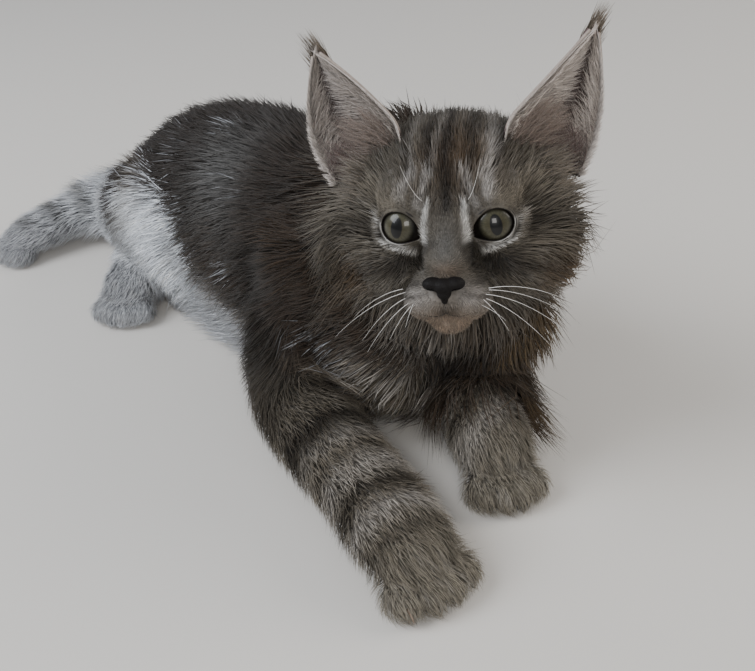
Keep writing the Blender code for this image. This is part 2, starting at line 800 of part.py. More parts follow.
def lock_rings(points, normals, width, thick, grown=0):
    """Three corners round each point of the path but the last: two at the edges and one on the ridge."""
    rings = []
    for number, (_, broad, deep) in enumerate(LOCK_RINGS):
        ahead = (points[number + 1] - points[max(number - 1, 0)]).normalized()
        across = ahead.cross(normals[number]).normalized()
        up = across.cross(ahead)
        half = (width * broad / 2 + 4 * grown) * MM
        lift = (thick * deep + 2 * grown) * MM
        middle = points[number] - (ahead * grown * MM if number == 0 else Vector())
        low = middle - up * grown * MM
        ring = [low + across * half, middle + up * lift, low - across * half]
        for corner in ring:
            corner.z = max(corner.z, (LOCK_FLOOR - grown) * MM)
        rings.append(ring)
    return rings


def lock_shape(plan, grown):
    """Corners and triangles of a flat lock with a ridge, tapered to one point."""
    points = plan[0]
    corners = [corner for ring in lock_rings(*plan, grown) for corner in ring]
    corners.append(points[-1] + (points[-1] - points[-2]).normalized() * 3 * grown * MM)
    faces = [(0, 1, 2)]
    for start in range(0, len(corners) - 4, 3):
        for here, beside in ((0, 1), (1, 2), (2, 0)):
            low, low_beside = start + here, start + beside
            high, high_beside = low + 3, low_beside + 3
            faces += [(low, high_beside, low_beside), (low, high, high_beside)]
    last = len(corners) - 1
    faces += [(last - 3, last, last - 2), (last - 2, last, last - 1), (last - 1, last, last - 3)]
    return corners, faces


def lock_mesh(name, plan, grown, home):
    mesh = bpy.data.meshes.new(name)
    corners, faces = lock_shape(plan, grown)
    mesh.from_pydata(corners, [], faces)
    made = bpy.data.objects.new(name, mesh)
    home.objects.link(made)
    return made


def is_sound(plan):
    """Whether a lock's own faces stay apart, and inside the same lock grown by the gap."""
    shape = lock_shape(plan, 0)
    tree = BVHTree.FromPolygons(*shape)
    if tree.overlap(BVHTree.FromPolygons(*lock_shape(plan, GAP))):
        return False
    return all(set(shape[1][one]) & set(shape[1][other]) for one, other in tree.overlap(tree))


def empty_out(collection):
    for thing in list(collection.objects):
        bpy.data.objects.remove(thing)
    bpy.data.collections.remove(collection)


def join_locks(node, plans, grown=0):
    """One Boolean union of a part and all its locks."""
    locks = new_collection("locks")
    for plan in plans:
        lock_mesh("lock", plan, grown, locks)
    boolean(node, "UNION", locks, "MANIFOLD")
    empty_out(locks)
    return node


def scattered(thing, draw, count):
    """Points spread evenly over a mesh, each with its normal."""
    mesh = thing.data
    mesh.calc_loop_triangles()
    points = np.array([vert.co[:] for vert in mesh.vertices])
    corners = points[[face.vertices[:] for face in mesh.loop_triangles]]
    across = np.cross(corners[:, 1] - corners[:, 0], corners[:, 2] - corners[:, 0])
    area = np.linalg.norm(across, axis=1)
    chosen = draw.choice(len(corners), count, p=area / area.sum())
    along = draw.random((count, 2))
    over = along.sum(axis=1) > 1
    along[over] = 1 - along[over]
    a, b, c = (corners[chosen, corner] for corner in range(3))
    points = a + (b - a) * along[:, :1] + (c - a) * along[:, 1:]
    return points, across[chosen] / area[chosen, None]


def tree_of(thing):
    points = [vert.co for vert in thing.data.vertices]
    return BVHTree.FromPolygons(points, [face.vertices[:] for face in thing.data.polygons])


def clears(plan, trees):
    """Whether a lock, past its root, keeps out of all the shapes and doesn't pass through one."""
    rings = lock_rings(*plan) + [[plan[0][-1]] * 3]
    for low, high in zip(rings, rings[1:]):
        edges = [*zip(low, high), ((low[0] + low[2]) / 2, (high[0] + high[2]) / 2)]
        for start, end in edges:
            for tree in trees:
                if tree.ray_cast(start, end - start, (end - start).length)[0]:
                    return False
                for share in np.arange(1, LOCK_SAMPLES + 1) / LOCK_SAMPLES:
                    spot = start.lerp(end, share)
                    place, normal, _, away = tree.find_nearest(spot)
                    if away < NEAR * MM and (spot - place).dot(normal) < LOCK_CLEARANCE * MM:
                        return False
    return True


def plan_locks(nodes, cat, outer_cat):
    """Chooses roots a set distance apart on each part and works out each lock's path."""
    draw = np.random.default_rng(SEED)
    core, outer = tree_of(cat), tree_of(outer_cat)
    trees = {name: tree_of(node) for name, node in nodes.items()}
    plans = {}
    for number, name in enumerate(LOCK_ORDER):
        spacing, length, width, thick, turn = LOCKS[name]
        plans[name] = []
        above = [trees[other] for other in ("ear_left", "ear_right", *LOCK_ORDER[:number])]
        roots = []
        for point, normal in zip(*scattered(nodes[name], draw, LOCK_TRIES)):
            point, normal = Vector(point), Vector(normal)
            size, bend = draw.uniform(0.8, 1.2), draw.uniform(-1, 1)
            on_skin = core.find_nearest(point)[3] < ON_SKIN * MM
            if not on_skin or not grows_locks(name, point / MM, normal):
                continue
            if any((point - other).length < spacing * MM for other in roots):
                continue
            heading = math.radians(turn) * bend
            for shorter in SHORTER:
                path = lock_path(name, point, normal, length * size * shorter, heading, core, outer)
                plan = path and (*path, width * size, thick)
                if plan and is_sound(plan) and clears(plan, above):
                    roots.append(point)
                    plans[name].append(plan)
                    break
    return plans


def grow_locks(nodes, plans):
    """Joins each part's locks to it, then cuts the parts below clear of them."""
    taken = []
    for name in LOCK_ORDER:
        node = join_locks(nodes[name], plans[name])
        for other in taken:
            boolean(node, "DIFFERENCE", other, "MANIFOLD")
        keep_largest(node)
        first, *others = plans[name]
        taken.append(join_locks(lock_mesh("wide", first, GAP, cutters), others, GAP))


def finish_node(node, name, colour, roughness):
    node.name = name
    cutters.objects.unlink(node)
    kitten.objects.link(node)
    material = bpy.data.materials.new(name)
    material.use_nodes = True
    principled = material.node_tree.nodes["Principled BSDF"]
    principled.inputs["Base Color"].default_value = (*colour, 1)
    principled.inputs["Roughness"].default_value = roughness
    principled.inputs["Metallic"].default_value = 0
    node.data.materials.clear()
    node.data.materials.append(material)
    node.data.shade_smooth()
    node.data.set_sharp_from_angle(angle=math.radians(50))
    node.parent = stance


clear_scene()
kitten = new_collection("maine_coon_kitten")
cutters = new_collection("cutters")
stance = bpy.data.objects.new("stance", None)
kitten.objects.link(stance)

cat = whole_cat("whole_cat", CORE_SHARE)
nodes = part_cat(cat, build_regions())
for side, name in ((1, "ear_left"), (-1, "ear_right")):
    nodes[name] = add_ear((nodes["head"], nodes["neck"]), side, name)
plans = plan_locks(nodes, cat, whole_cat("outline", 1))
grow_locks(nodes, plans)
for side, name in ((1, "eye_left"), (-1, "eye_right")):
    nodes[name] = add_eye(nodes["head"], side, name)
add_mouth(nodes["head"])
nodes["nose"] = add_nose(nodes["head"])
keep_largest(nodes["head"])
for name, node in nodes.items():
    finish_node(node, name, *FINISHES.get(name, FINISHES["fur"]))
for helper in list(cutters.objects):
    bpy.data.objects.remove(helper)
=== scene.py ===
import json
import math
import time
import bpy
import numpy as np
from mathutils import Matrix, Vector

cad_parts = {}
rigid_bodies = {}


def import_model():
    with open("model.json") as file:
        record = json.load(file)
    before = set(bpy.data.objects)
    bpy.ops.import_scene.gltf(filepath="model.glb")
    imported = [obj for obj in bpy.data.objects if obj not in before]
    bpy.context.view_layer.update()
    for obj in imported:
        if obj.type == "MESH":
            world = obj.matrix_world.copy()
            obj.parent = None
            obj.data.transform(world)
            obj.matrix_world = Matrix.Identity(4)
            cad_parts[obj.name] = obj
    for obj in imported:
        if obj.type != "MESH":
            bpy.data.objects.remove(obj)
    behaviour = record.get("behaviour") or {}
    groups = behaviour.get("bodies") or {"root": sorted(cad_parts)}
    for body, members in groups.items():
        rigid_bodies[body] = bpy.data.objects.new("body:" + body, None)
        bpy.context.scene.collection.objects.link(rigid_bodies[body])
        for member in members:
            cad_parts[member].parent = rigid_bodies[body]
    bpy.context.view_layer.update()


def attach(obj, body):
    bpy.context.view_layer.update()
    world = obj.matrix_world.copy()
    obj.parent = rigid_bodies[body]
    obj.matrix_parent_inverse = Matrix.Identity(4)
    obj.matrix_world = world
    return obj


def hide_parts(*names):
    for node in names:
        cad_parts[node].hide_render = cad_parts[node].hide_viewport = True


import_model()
startTime = time.time()
mm = 0.001


def report(text):
    print(f"{time.time() - startTime:6.1f} s  {text}")


# Small helpers

# Rz(-yaw) times Rx(-pitch) times Ry(-roll), in degrees
def turned(yaw, pitch=0, roll=0):
    steps = ((yaw, "Z"), (pitch, "X"), (roll, "Y"))
    turns = [Matrix.Rotation(math.radians(-angle), 3, axis) for angle, axis in steps]
    return np.array(turns[0] @ turns[1] @ turns[2])


def unit(vectors):
    return vectors / np.maximum(np.linalg.norm(vectors, axis=-1, keepdims=True), 1e-9)


# 0 below low, 1 above high, 3t^2 - 2t^3 between
def smoothStep(low, high, values):
    t = np.clip((values - low) / (high - low), 0, 1)
    return t * t * (3 - 2 * t)


# exp(-r^2) where r is the distance from the centre in units of the radii
def softBlob(points, centre, radii):
    return np.exp(-(((points - np.array(centre)) / np.array(radii)) ** 2).sum(-1))


# repeatable noise in -1..1: sines of skewed coordinates added up
def waves(points, size, seed=0.0):
    p = points / size
    a = np.sin(p[:, 0] * 1.7 + p[:, 1] * 1.1 + seed) + np.sin(p[:, 1] * 1.9 - p[:, 2] * 1.3 + 2.1 * seed)
    b = np.sin(p[:, 2] * 2.1 + p[:, 0] * 0.9 - 1.7 * seed)
    b = b + np.sin((p[:, 0] - p[:, 1] + p[:, 2]) * 2.7 + seed)
    return (a + b) / 4


def linear(red, green, blue):
    values = np.array((red, green, blue)) / 255
    return np.where(values <= 0.04045, values / 12.92, ((values + 0.055) / 1.055) ** 2.4)


# Camera, floor and light

cameraSet = {"place": (-0.22697, -0.34159, 0.300), "azimuth": 35.0, "lens": 48.16,
             "upright": (-0.0645, 0.8354, 0.5458)}


# looks along the azimuth, tipped down until the world's up projects as in the photograph, then rolled
def makeCamera():
    upright = Vector(cameraSet["upright"]).normalized()
    level = math.sqrt(1 - upright.z ** 2)
    angle = math.radians(cameraSet["azimuth"])
    ahead = Vector((math.sin(angle) * level, math.cos(angle) * level, -upright.z))
    right = ahead.cross(Vector((0, 0, 1))).normalized()
    above = right.cross(ahead)
    lean = upright.x / above.z
    right = right * math.sqrt(1 - lean * lean) + above * lean
    data = bpy.data.cameras.new("camera")
    data.lens = cameraSet["lens"]
    data.sensor_width = 36
    data.clip_start = 0.01
    camera = bpy.data.objects.new("camera", data)
    bpy.context.scene.collection.objects.link(camera)
    columns = Matrix((right, (-ahead).cross(right), -ahead)).transposed()
    camera.matrix_world = Matrix.Translation(Vector(cameraSet["place"])) @ columns.to_4x4()
    bpy.context.scene.camera = camera


studio = {
    "floorColour": (0.62, 0.60, 0.57),
    "world": ((0.88, 0.91, 0.96), 0.42),
    # name: place, target, width, height, power, colour
    "lamps": {
        "window": ((-1.1, 0.55, 1.15), (0.0, 0.06, 0.05), 1.0, 1.0, 28, (0.93, 0.96, 1.0)),
        "front": ((-0.75, -1.25, 0.95), (0.0, 0.0, 0.08), 0.6, 0.6, 13, (1.0, 0.97, 0.93)),
        "side": ((1.1, -0.55, 0.8), (0.02, -0.02, 0.08), 0.9, 0.9, 11, (1.0, 0.93, 0.84)),
    },
}


def makeStudio():
    bpy.ops.mesh.primitive_plane_add(size=4)
    floor = bpy.context.object
    floor.name = "floor"
    paint = bpy.data.materials.new("paleFloor")
    paint.use_nodes = True
    shader = paint.node_tree.nodes["Principled BSDF"]
    shader.inputs["Base Color"].default_value = (*studio["floorColour"], 1)
    shader.inputs["Roughness"].default_value = 0.55
    floor.data.materials.append(paint)
    for name, (place, target, width, height, power, colour) in studio["lamps"].items():
        lamp = bpy.data.lights.new(name, "AREA")
        lamp.shape = "RECTANGLE"
        lamp.size, lamp.size_y = width, height
        lamp.energy = power
        lamp.color = colour
        holder = bpy.data.objects.new(name, lamp)
        bpy.context.scene.collection.objects.link(holder)
        way = Vector(target) - Vector(place)
        turn = way.to_track_quat("-Z", "Y").to_matrix().to_4x4()
        holder.matrix_world = Matrix.Translation(Vector(place)) @ turn
    world = bpy.data.worlds.new("studio")
    world.use_nodes = True
    back = world.node_tree.nodes["Background"]
    back.inputs["Color"].default_value = (*studio["world"][0], 1)
    back.inputs["Strength"].default_value = studio["world"][1]
    bpy.context.scene.world = world


makeCamera()
makeStudio()
report("camera, floor and lights")

# The body under the coat

# Stations of a limb: centre x, y, z, half width, half height, coat (mm). Bulges: centre, radii, yaw, coat.
bodyForm = {
    "trunk": ((-3, -34, 44, 16, 24, 13), (-1, -18, 47, 29, 38, 14), (6, 12, 55, 38, 51, 13),
              (11, 58, 58, 41, 57, 13), (13, 104, 55, 41, 54, 13), (13, 144, 50, 41, 48, 12),
              (7, 178, 41, 35, 34, 10), (-5, 203, 32, 27, 24, 10), (-14, 222, 29, 16, 19, 9)),
    "belly": ((4, -2, 14, 22, 12, 13), (7, 24, 14, 25, 12, 13), (9, 60, 15, 31, 13, 17),
              (12, 104, 15, 33, 13, 17), (12, 144, 15, 32, 13, 15), (7, 172, 14, 26, 12, 11)),
    "neck": ((12, 14, 81, 35, 34, 15), (12, -10, 91, 31, 32, 17), (12, -38, 102, 29, 29, 14)),
    "tail": ((0, 210, 42, 13, 13, 9), (10, 231, 37, 10, 10, 13), (26, 245, 28, 8, 8, 14),
             (48, 247, 20, 7.5, 7.5, 14), (70, 234, 18, 7, 7, 14), (85, 210, 17.5, 6.5, 6.5, 13),
             (92, 182, 16.5, 5.6, 5.6, 12), (94, 154, 15, 4.6, 4.6, 11), (92, 128, 12.5, 3, 3, 8.5),
             (88, 110, 9, 2, 2, 4)),
    "forelegRight": ((-31, 6, 56, 15, 20, 9), (-39, 0, 36, 17, 20, 7), (-46, -14, 23, 17, 17, 6),
                     (-50, -48, 20, 18, 16, 6), (-55, -84, 18.5, 16.5, 15, 5.5),
                     (-58, -104, 17, 18, 13.5, 4.5)),
    "forelegLeft": ((37, 4, 54, 15, 20, 9), (43, -4, 34, 18, 20, 7), (42, -20, 23, 17, 17, 6),
                    (28, -50, 20, 16, 15.5, 5), (15, -72, 18.5, 14.5, 14.5, 4.5), (8, -86, 17, 16, 13, 4)),
    "hindRight": ((-18, 176, 26, 15, 15, 6), (-10, 197, 20, 13, 14, 5), (-22, 186, 17, 12, 13, 5),
                  (-38, 169, 15, 12.5, 12, 4.5), (-46, 160, 14, 15, 11, 4)),
    "hindLeft": ((26, 186, 34, 15, 18, 6), (12, 214, 30, 16, 18, 7), (-4, 244, 25, 14, 16, 8),
                 (-22, 260, 20, 12.5, 14, 7), (-40, 266, 16.5, 11.5, 12.5, 6),
                 (-54, 267, 14.5, 12.5, 11.5, 5), (-64, 267, 13, 14, 10.5, 4)),
}
bulges = {
    "ruff": ("neck", (12, -56, 82), (34, 24, 22), 47.5, 14),
    "bib": ("neck", (28, -56, 58), (22, 18, 24), 47.5, 14),
    "withers": ("neck", (33, 2, 101), (30, 26, 26), 20, 14),
    "thighRight": ("hindRight", (-22, 158, 42), (20, 42, 38), -8, 9),
    "thighLeft": ("hindLeft", (32, 164, 42), (20, 42, 38), 6, 9),
    "shoulderRight": ("forelegRight", (-25, 6, 66), (15, 20, 30), 0, 9),
    "shoulderLeft": ("forelegLeft", (33, 6, 66), (15, 20, 30), 0, 9),
}
# Paws: centre of the knuckles, heading from -Y towards -X, half width and length of the toes.
paws = {
    "forelegRight": ((-58.5, -111, 14), 4, 20, 17),
    "forelegLeft": ((5.5, -91, 14), 22, 17, 17),
    "hindRight": ((-49.5, 157, 12.5), 49, 17, 16),
    "hindLeft": ((-68, 267, 12.5), 88, 16, 14),
}
toes = {"radius": 6.2, "count": 4, "fan": 9, "coat": 4.5, "tipCoat": 3.6}
headForm = {
    "centre": (12, -62, 115), "turn": (47.5, 13, 3.3),
    # centre, radii, coat, mirrored
    "balls": (((0, 6, 7), (35, 36, 31), 5, False), ((22, 0, -9), (20, 23, 19), 8, True),
              ((16, -22, 14), (11, 9, 8), 2, True), ((0, -27, 4), (11, 13, 11), 1.5, False),
              ((0, -35, -6), (9, 11, 8), 1.2, False), ((0, -33, -20), (14, 15, 10), 2, False),
              ((7.5, -39, -21.5), (9, 8.5, 7.5), 1.8, True), ((0, -35, -29.5), (8, 8, 6), 2.5, False),
              ((22, -19, -14), (12, 10, 12), 4, True)),
}
partNames = ("trunk", "neck", "head", "tail", "forelegRight", "forelegLeft", "hindRight", "hindLeft")
headTurn = turned(*headForm["turn"])
headCentre = np.array(headForm["centre"], float)


def headLocal(points):
    return (points - headCentre) @ headTurn


def fromHead(local):
    return np.asarray(local) @ headTurn.T + headCentre


# Catmull-Rom curve through the stations, about a step apart
def smoothRows(stations, step):
    rows = np.array(stations, float)
    ends = np.vstack((2 * rows[:1] - rows[1:2], rows, 2 * rows[-1:] - rows[-2:-1]))
    made = []
    for before, start, end, after in zip(ends, ends[1:], ends[2:], ends[3:]):
        count = max(1, round(float(np.linalg.norm((end - start)[:3])) / step))
        t = (np.arange(count) / count)[:, None]
        bend = (2 * before - 5 * start + 4 * end - after) * t * t
        curve = 3 * start - before - 3 * end + after
        made.append(0.5 * (2 * start + (end - before) * t + bend + curve * t ** 3))
    return np.vstack(made + [rows[-1:]])


# Balls of flesh: centre, three half axes as columns, coat depth, part number, way the hair lies
balls = []


def addBall(part, centre, radii, turn, coat, lie):
    number = partNames.index("trunk" if part == "belly" else part)
    axes = np.array(turn) * np.array(radii, float)
    balls.append((np.array(centre, float), axes, coat, number, np.array(lie, float)))


def addBodyBalls():
    for part, stations in bodyForm.items():
        rows = smoothRows(stations, 5)
        for row, ahead in zip(rows, np.gradient(rows[:, :3], axis=0)):
            turn = Vector(ahead).to_track_quat("Y", "Z").to_matrix()
            lie = ahead / np.linalg.norm(ahead)
            if part.startswith("foreleg") and row[2] > 26:
                lie = np.array((0, 0.5, -0.9))
            addBall(part, row[:3], (row[3], min(row[3], row[4]), row[4]), turn, row[5], lie)
    for part, centre, radii, yaw, coat in bulges.values():
        addBall(part, centre, radii, turned(yaw), coat, (0, 0.75, -0.65))
    for part, (centre, heading, halfWidth, length) in paws.items():
        turn = turned(heading)
        lie = turn @ np.array((0, -1, -0.35))
        addBall(part, centre, (halfWidth - 3, halfWidth - 3, centre[2] - 2), turn, toes["coat"], lie)
        for side in np.linspace(-1, 1, toes["count"]):
            ahead = -length * (1 - 0.22 * side * side)
            offset = np.array((side * (halfWidth - toes["radius"]), ahead, toes["radius"] - centre[2]))
            place = centre + turn @ offset
            toeTurn = turned(heading - toes["fan"] * side)
            addBall(part, place, np.array((1, 1.4, 1)) * toes["radius"], toeTurn, toes["tipCoat"],
                    toeTurn @ np.array((0, -1, -0.5)))
    for centre, radii, coat, mirrored in headForm["balls"]:
        for side in (1, -1) if mirrored else (1,):
            place = fromHead((side * centre[0], *centre[1:]))
            addBall("head", place, radii, headTurn, coat, (0, 1, 0))


addBodyBalls()

# A grid of the flesh's distance, with the coat's depth and lie

gridSet = {"low": (-122, -162, -12), "high": (136, 310, 200), "step": 2.5, "reach": 24, "blend": 2.2}


# for each ball the distance to an ellipsoid is |q|(|q| - 1) over |q scaled once more|; the balls are
# averaged with weights exp(-distance / blend), and the result is blurred once for fillets
class Field:
    def __init__(self):
        self.low = np.array(gridSet["low"], float)
        self.step = gridSet["step"]
        self.size = np.ceil((np.array(gridSet["high"]) - self.low) / self.step).astype(int)
        kinds = len(partNames)
        total = np.zeros((*self.size, 5 + kinds), np.float32)
        weights = np.zeros(tuple(self.size), np.float32)
        for centre, axes, coat, part, lie in balls:
            reach = np.linalg.norm(axes, axis=1) + gridSet["reach"]
            first = np.maximum(((centre - reach - self.low) / self.step).astype(int), 0)
            last = np.minimum(((centre + reach - self.low) / self.step).astype(int) + 2, self.size)
            spans = [self.low[a] + self.step * np.arange(first[a], last[a]) for a in range(3)]
            points = np.stack(np.meshgrid(*spans, indexing="ij"), -1) - centre
            q = points @ np.linalg.inv(axes).T
            radii = np.linalg.norm(axes, axis=0)
            r = np.linalg.norm(q, axis=-1)
            distance = r * (r - 1) / np.maximum(np.linalg.norm(q / radii, axis=-1), 1e-6)
            weight = np.exp(-np.clip(distance, -45, 60) / gridSet["blend"])
            box = tuple(slice(first[a], last[a]) for a in range(3))
            weights[box] += weight
            total[box][..., 0] += weight * distance
            total[box][..., 1] += weight * coat
            total[box][..., 2:5] += weight[..., None] * lie
            total[box][..., 5 + part] += weight
        empty = weights <= 0
        total /= np.where(empty, 1, weights)[..., None]
        total[empty, 0] = gridSet["reach"]
        for axis in range(3):
            total = (np.roll(total, 1, axis) + 2 * total + np.roll(total, -1, axis)) / 4
        slopes = np.stack(np.gradient(total[..., 0], self.step), -1)
        self.values = np.concatenate((total, slopes), -1).reshape(-1, total.shape[-1] + 3)

    # the eight grid values round each point, mixed by their nearness
    def read(self, points):
        place = np.clip((points - self.low) / self.step, 0, self.size - 1.001)
        cell = place.astype(int)
        part = place - cell
        stride = np.array((self.size[1] * self.size[2], self.size[2], 1))
        first = cell @ stride
        result = 0
        for corner in np.ndindex(2, 2, 2):
            share = np.prod(np.where(np.array(corner), part, 1 - part), axis=1).astype(np.float32)
            result = result + self.values[first + np.array(corner) @ stride] * share[:, None]
        return result


field = Field()
report(f"flesh field of {len(balls)} balls")


# distance, normal, coat depth, stored lie and share of each part at points in mm
def readField(points):
    values = field.read(points)
    shares = values[:, 5:5 + len(partNames)]
    shares = shares / np.maximum(shares.sum(1, keepdims=True), 1e-6)
    return values[:, 0], unit(values[:, -3:]), values[:, 1], values[:, 2:5], shares


# Markings, the same for the skin and every tuft

fur = {
    "charcoal": linear(40, 34, 30), "brown": linear(50, 40, 31), "dark": linear(22, 16, 12),
    "ash": linear(120, 113, 102), "slate": linear(108, 108, 107), "silver": linear(222, 226, 232),
    # the warm sand colour on this line is painted backlight glowing through the ruff
    "pale": linear(172, 168, 164), "white": linear(214, 212, 208), "backlitSand": linear(168, 146, 112),
    "rust": linear(104, 78, 46), "pinkish": linear(170, 149, 130), "greyBeige": linear(132, 124, 111),
    "mist": linear(172, 174, 178), "pawLight": linear(150, 144, 131),
}


def lay(colours, name, amount):
    amount = np.clip(amount, 0, 1)[:, None]
    return colours * (1 - amount) + fur[name] * amount


# stripe along a line from a to b in the head's x-z view: 1 on the line, fading over the width
def faceStroke(local, a, b, width, front=-6):
    a, b = np.array(a, float), np.array(b, float)
    flat = local[:, (0, 2)]
    share = np.clip(((flat - a) @ (b - a)) / ((b - a) @ (b - a)), 0, 1)
    away = np.linalg.norm(flat - (a + share[:, None] * (b - a)), axis=1)
    return np.exp(-(away / width) ** 2) * (local[:, 1] < front)


def headColours(points):
    local = headLocal(points)
    side = np.abs(local[:, 0])
    mirrored = local.copy()
    mirrored[:, 0] = side
    wobble = waves(local, 5, 1.3)
    grain = waves(local, 1.6, 0.4)
    shifted = local + np.stack((1.3 * wobble, 0 * wobble, 1.3 * grain), -1)
    shiftedMirror = np.abs(shifted) * (1, 0, 0) + shifted * (0, 1, 1)
    c = np.tile(fur["ash"] * 0.6, (len(points), 1))
    c = lay(c, "pale", 0.25 * smoothStep(0.2, 0.8, waves(local * (1.6, 1, 0.7), 2.4, 3.0)))
    c = lay(c, "dark", 0.35 * smoothStep(0.1, 0.8, waves(local * (1.6, 1, 0.7), 3.4, 5.0)))
    c = lay(c, "brown", 0.75 * smoothStep(4, 24, local[:, 1]))
    c = lay(c, "brown", 0.7 * softBlob(local, (2, -22, 24), (13, 18, 20)))
    c = lay(c, "charcoal", 0.7 * smoothStep(24, 40, local[:, 2]) * smoothStep(-8, 14, local[:, 1]))
    c = lay(c, "rust", 0.35 * softBlob(local, (3, -26, 26), (13, 16, 10)))
    for x1, z1, x2, z2, width, amount in ((1, 12, 0, 40, 2.6, 0.85), (-5, 19, -8, 44, 2.2, 0.7),
                                          (8.5, 22, 9, 44, 2.4, 0.65), (-14, 22, -18, 40, 2.2, 0.5),
                                          (17, 24, 24, 40, 2.4, 0.6)):
        c = lay(c, "dark", amount * faceStroke(shifted, (x1, z1), (x2, z2), width, 14))
    for x1, z1, x2, z2, width, amount in ((-3, 22, -4, 40, 1.1, 0.3), (15.5, 16, 15, 34, 1.8, 0.6),
                                          (-12, 20, -13, 34, 1.3, 0.3)):
        c = lay(c, "pale", amount * faceStroke(shifted, (x1, z1), (x2, z2), width, 10))
    c = lay(c, "pale", 0.6 * faceStroke(shiftedMirror, (11, 12), (6, 20), 1.6))
    c = lay(c, "pale", 0.55 * faceStroke(shiftedMirror, (18, 15), (13, 21), 1.5))
    c = lay(c, "greyBeige", 0.6 * faceStroke(shiftedMirror, (20, 14), (40, 12), 3.2, 0))
    c = lay(c, "ash", 0.5 * softBlob(mirrored, (38, -6, 2), (14, 18, 14)))
    c = lay(c, "dark", 0.6 * faceStroke(shiftedMirror, (27, 1), (50, -5), 2.0, 8))
    c = lay(c, "dark", 0.65 * faceStroke(shiftedMirror, (17, -9), (36, -14), 3.2, 8))
    c = lay(c, "rust", 0.5 * softBlob(mirrored, (38, -8, -16), (11, 16, 9)))
    c = lay(c, "slate", 0.6 * softBlob(local, (1, -42, -1), (4.6, 10, 10)))
    c = lay(c, "dark", 0.6 * faceStroke(mirrored, (6.5, -1), (8.5, -7), 1.6, -30))
    c = lay(c, "dark", 0.75 * softBlob(mirrored, (14, -31, -9), (7, 8, 2.6)))
    c = lay(c, "pinkish", 0.6 * softBlob(local, (1, -48, -9.5), (5, 6, 3)))
    c = lay(c, "white", 0.85 * faceStroke(mirrored, (7.4, 11), (7.6, 0), 1.2, -28))
    c = lay(c, "white", 0.85 * faceStroke(mirrored, (25.2, 5.5), (22.8, -1), 1.1, -16))
    c = lay(c, "white", 0.85 * faceStroke(mirrored, (22.8, -1), (13, -4.6), 1.1, -16))
    c = lay(c, "pale", 0.7 * softBlob(mirrored, (10.5, -46, -19), (8, 10, 5)))
    rows = 0.5 + 0.5 * np.sin(mirrored[:, 2] * 1.9 + mirrored[:, 0] * 0.45)
    c = lay(c, "dark", 0.85 * rows ** 2 * softBlob(mirrored, (12.5, -43, -17.5), (6.5, 9, 5)))
    c = lay(c, "dark", 0.5 * softBlob(mirrored, (18, -36, -20), (6, 7, 8)))
    c = lay(c, "pinkish", 0.6 * softBlob(local, (1, -42, -29.5), (15, 13, 8)) * (1 + 0.4 * grain))
    c = lay(c, "dark", 0.8 * softBlob(local, (0.5, -49, -23.4), (4, 8, 2)))
    c = lay(c, "ash", 0.35 * softBlob(mirrored, (34, -8, -36), (12, 16, 8)))
    return c * (1 + 0.10 * wobble + 0.12 * grain)[:, None]


def bodyColours(points):
    x, y, z = points.T
    wobble = waves(points, 14, 0.7)
    streaks = waves(points * (1, 0.35, 1), 6.5, 2.2)
    fine = waves(points * (1, 0.5, 1), 2.6, 4.4)
    left = smoothStep(0, 30, x)
    c = np.tile(fur["charcoal"], (len(points), 1))
    c = lay(c, "brown", 0.8 * smoothStep(105, 60, z) * (0.7 + 0.3 * wobble))
    c = lay(c, "greyBeige", 0.45 * smoothStep(62, 40, z))
    low = smoothStep(56, 34, z + 9 * wobble + 5 * streaks + 8 * fine)
    c = lay(c, "mist", 0.9 * low * smoothStep(16, 50, y))
    c = lay(c, "slate", 0.85 * softBlob(points, (-14, 52, 104), (19, 26, 17)) * (0.75 + 0.25 * streaks))
    c = lay(c, "slate", 0.5 * softBlob(points, (44, 60, 96), (16, 26, 16)))
    for sign, strength in ((-1, 1.0), (1, 0.8)):
        rump = softBlob(points, (10 + sign * 46, 122, 53), (30, 42, 36))
        torn = rump + 0.22 * wobble + 0.36 * streaks + 0.22 * fine
        c = lay(c, "silver", strength * smoothStep(0.32, 0.62, torn))
        c = lay(c, "ash", 0.5 * strength * smoothStep(0.25, 0.6, rump) * smoothStep(0.2, 0.7, fine))
        for angle, size in ((-0.35, 11.0), (0.3, 15.0)):
            ring = np.sin((y - 134) / size + angle * (z - 60) / 9 + wobble)
            c = lay(c, "ash", 0.3 * strength * smoothStep(0.6, 0.95, ring) * smoothStep(0.2, 0.6, rump))
    c = lay(c, "mist", 0.75 * smoothStep(180, 214, y) * smoothStep(70, 46, z))
    chest = smoothStep(4, -26, y) * smoothStep(74, 50, z) * smoothStep(-22, -6, x)
    c = lay(c, "greyBeige", 0.7 * chest)
    c = lay(c, "pale", 0.6 * chest * smoothStep(0.0, 0.6, waves(points * (1, 1, 0.4), 3.6, 1.2)))
    c = lay(c, "silver", 0.5 * smoothStep(60, 20, z) * smoothStep(150, 190, y))
    c = lay(c, "ash", 0.3 * left * smoothStep(0.2, 0.8, streaks))
    upper = smoothStep(40, 70, z) * smoothStep(150, 110, y)
    c = lay(c, "dark", 0.6 * smoothStep(0.15, 0.8, streaks) * upper)
    lower = smoothStep(100, 60, z) * smoothStep(140, 100, y)
    c = lay(c, "ash", 0.3 * smoothStep(0.3, 0.9, -streaks) * lower)
    return c * (1 + 0.13 * wobble + 0.12 * streaks)[:, None]


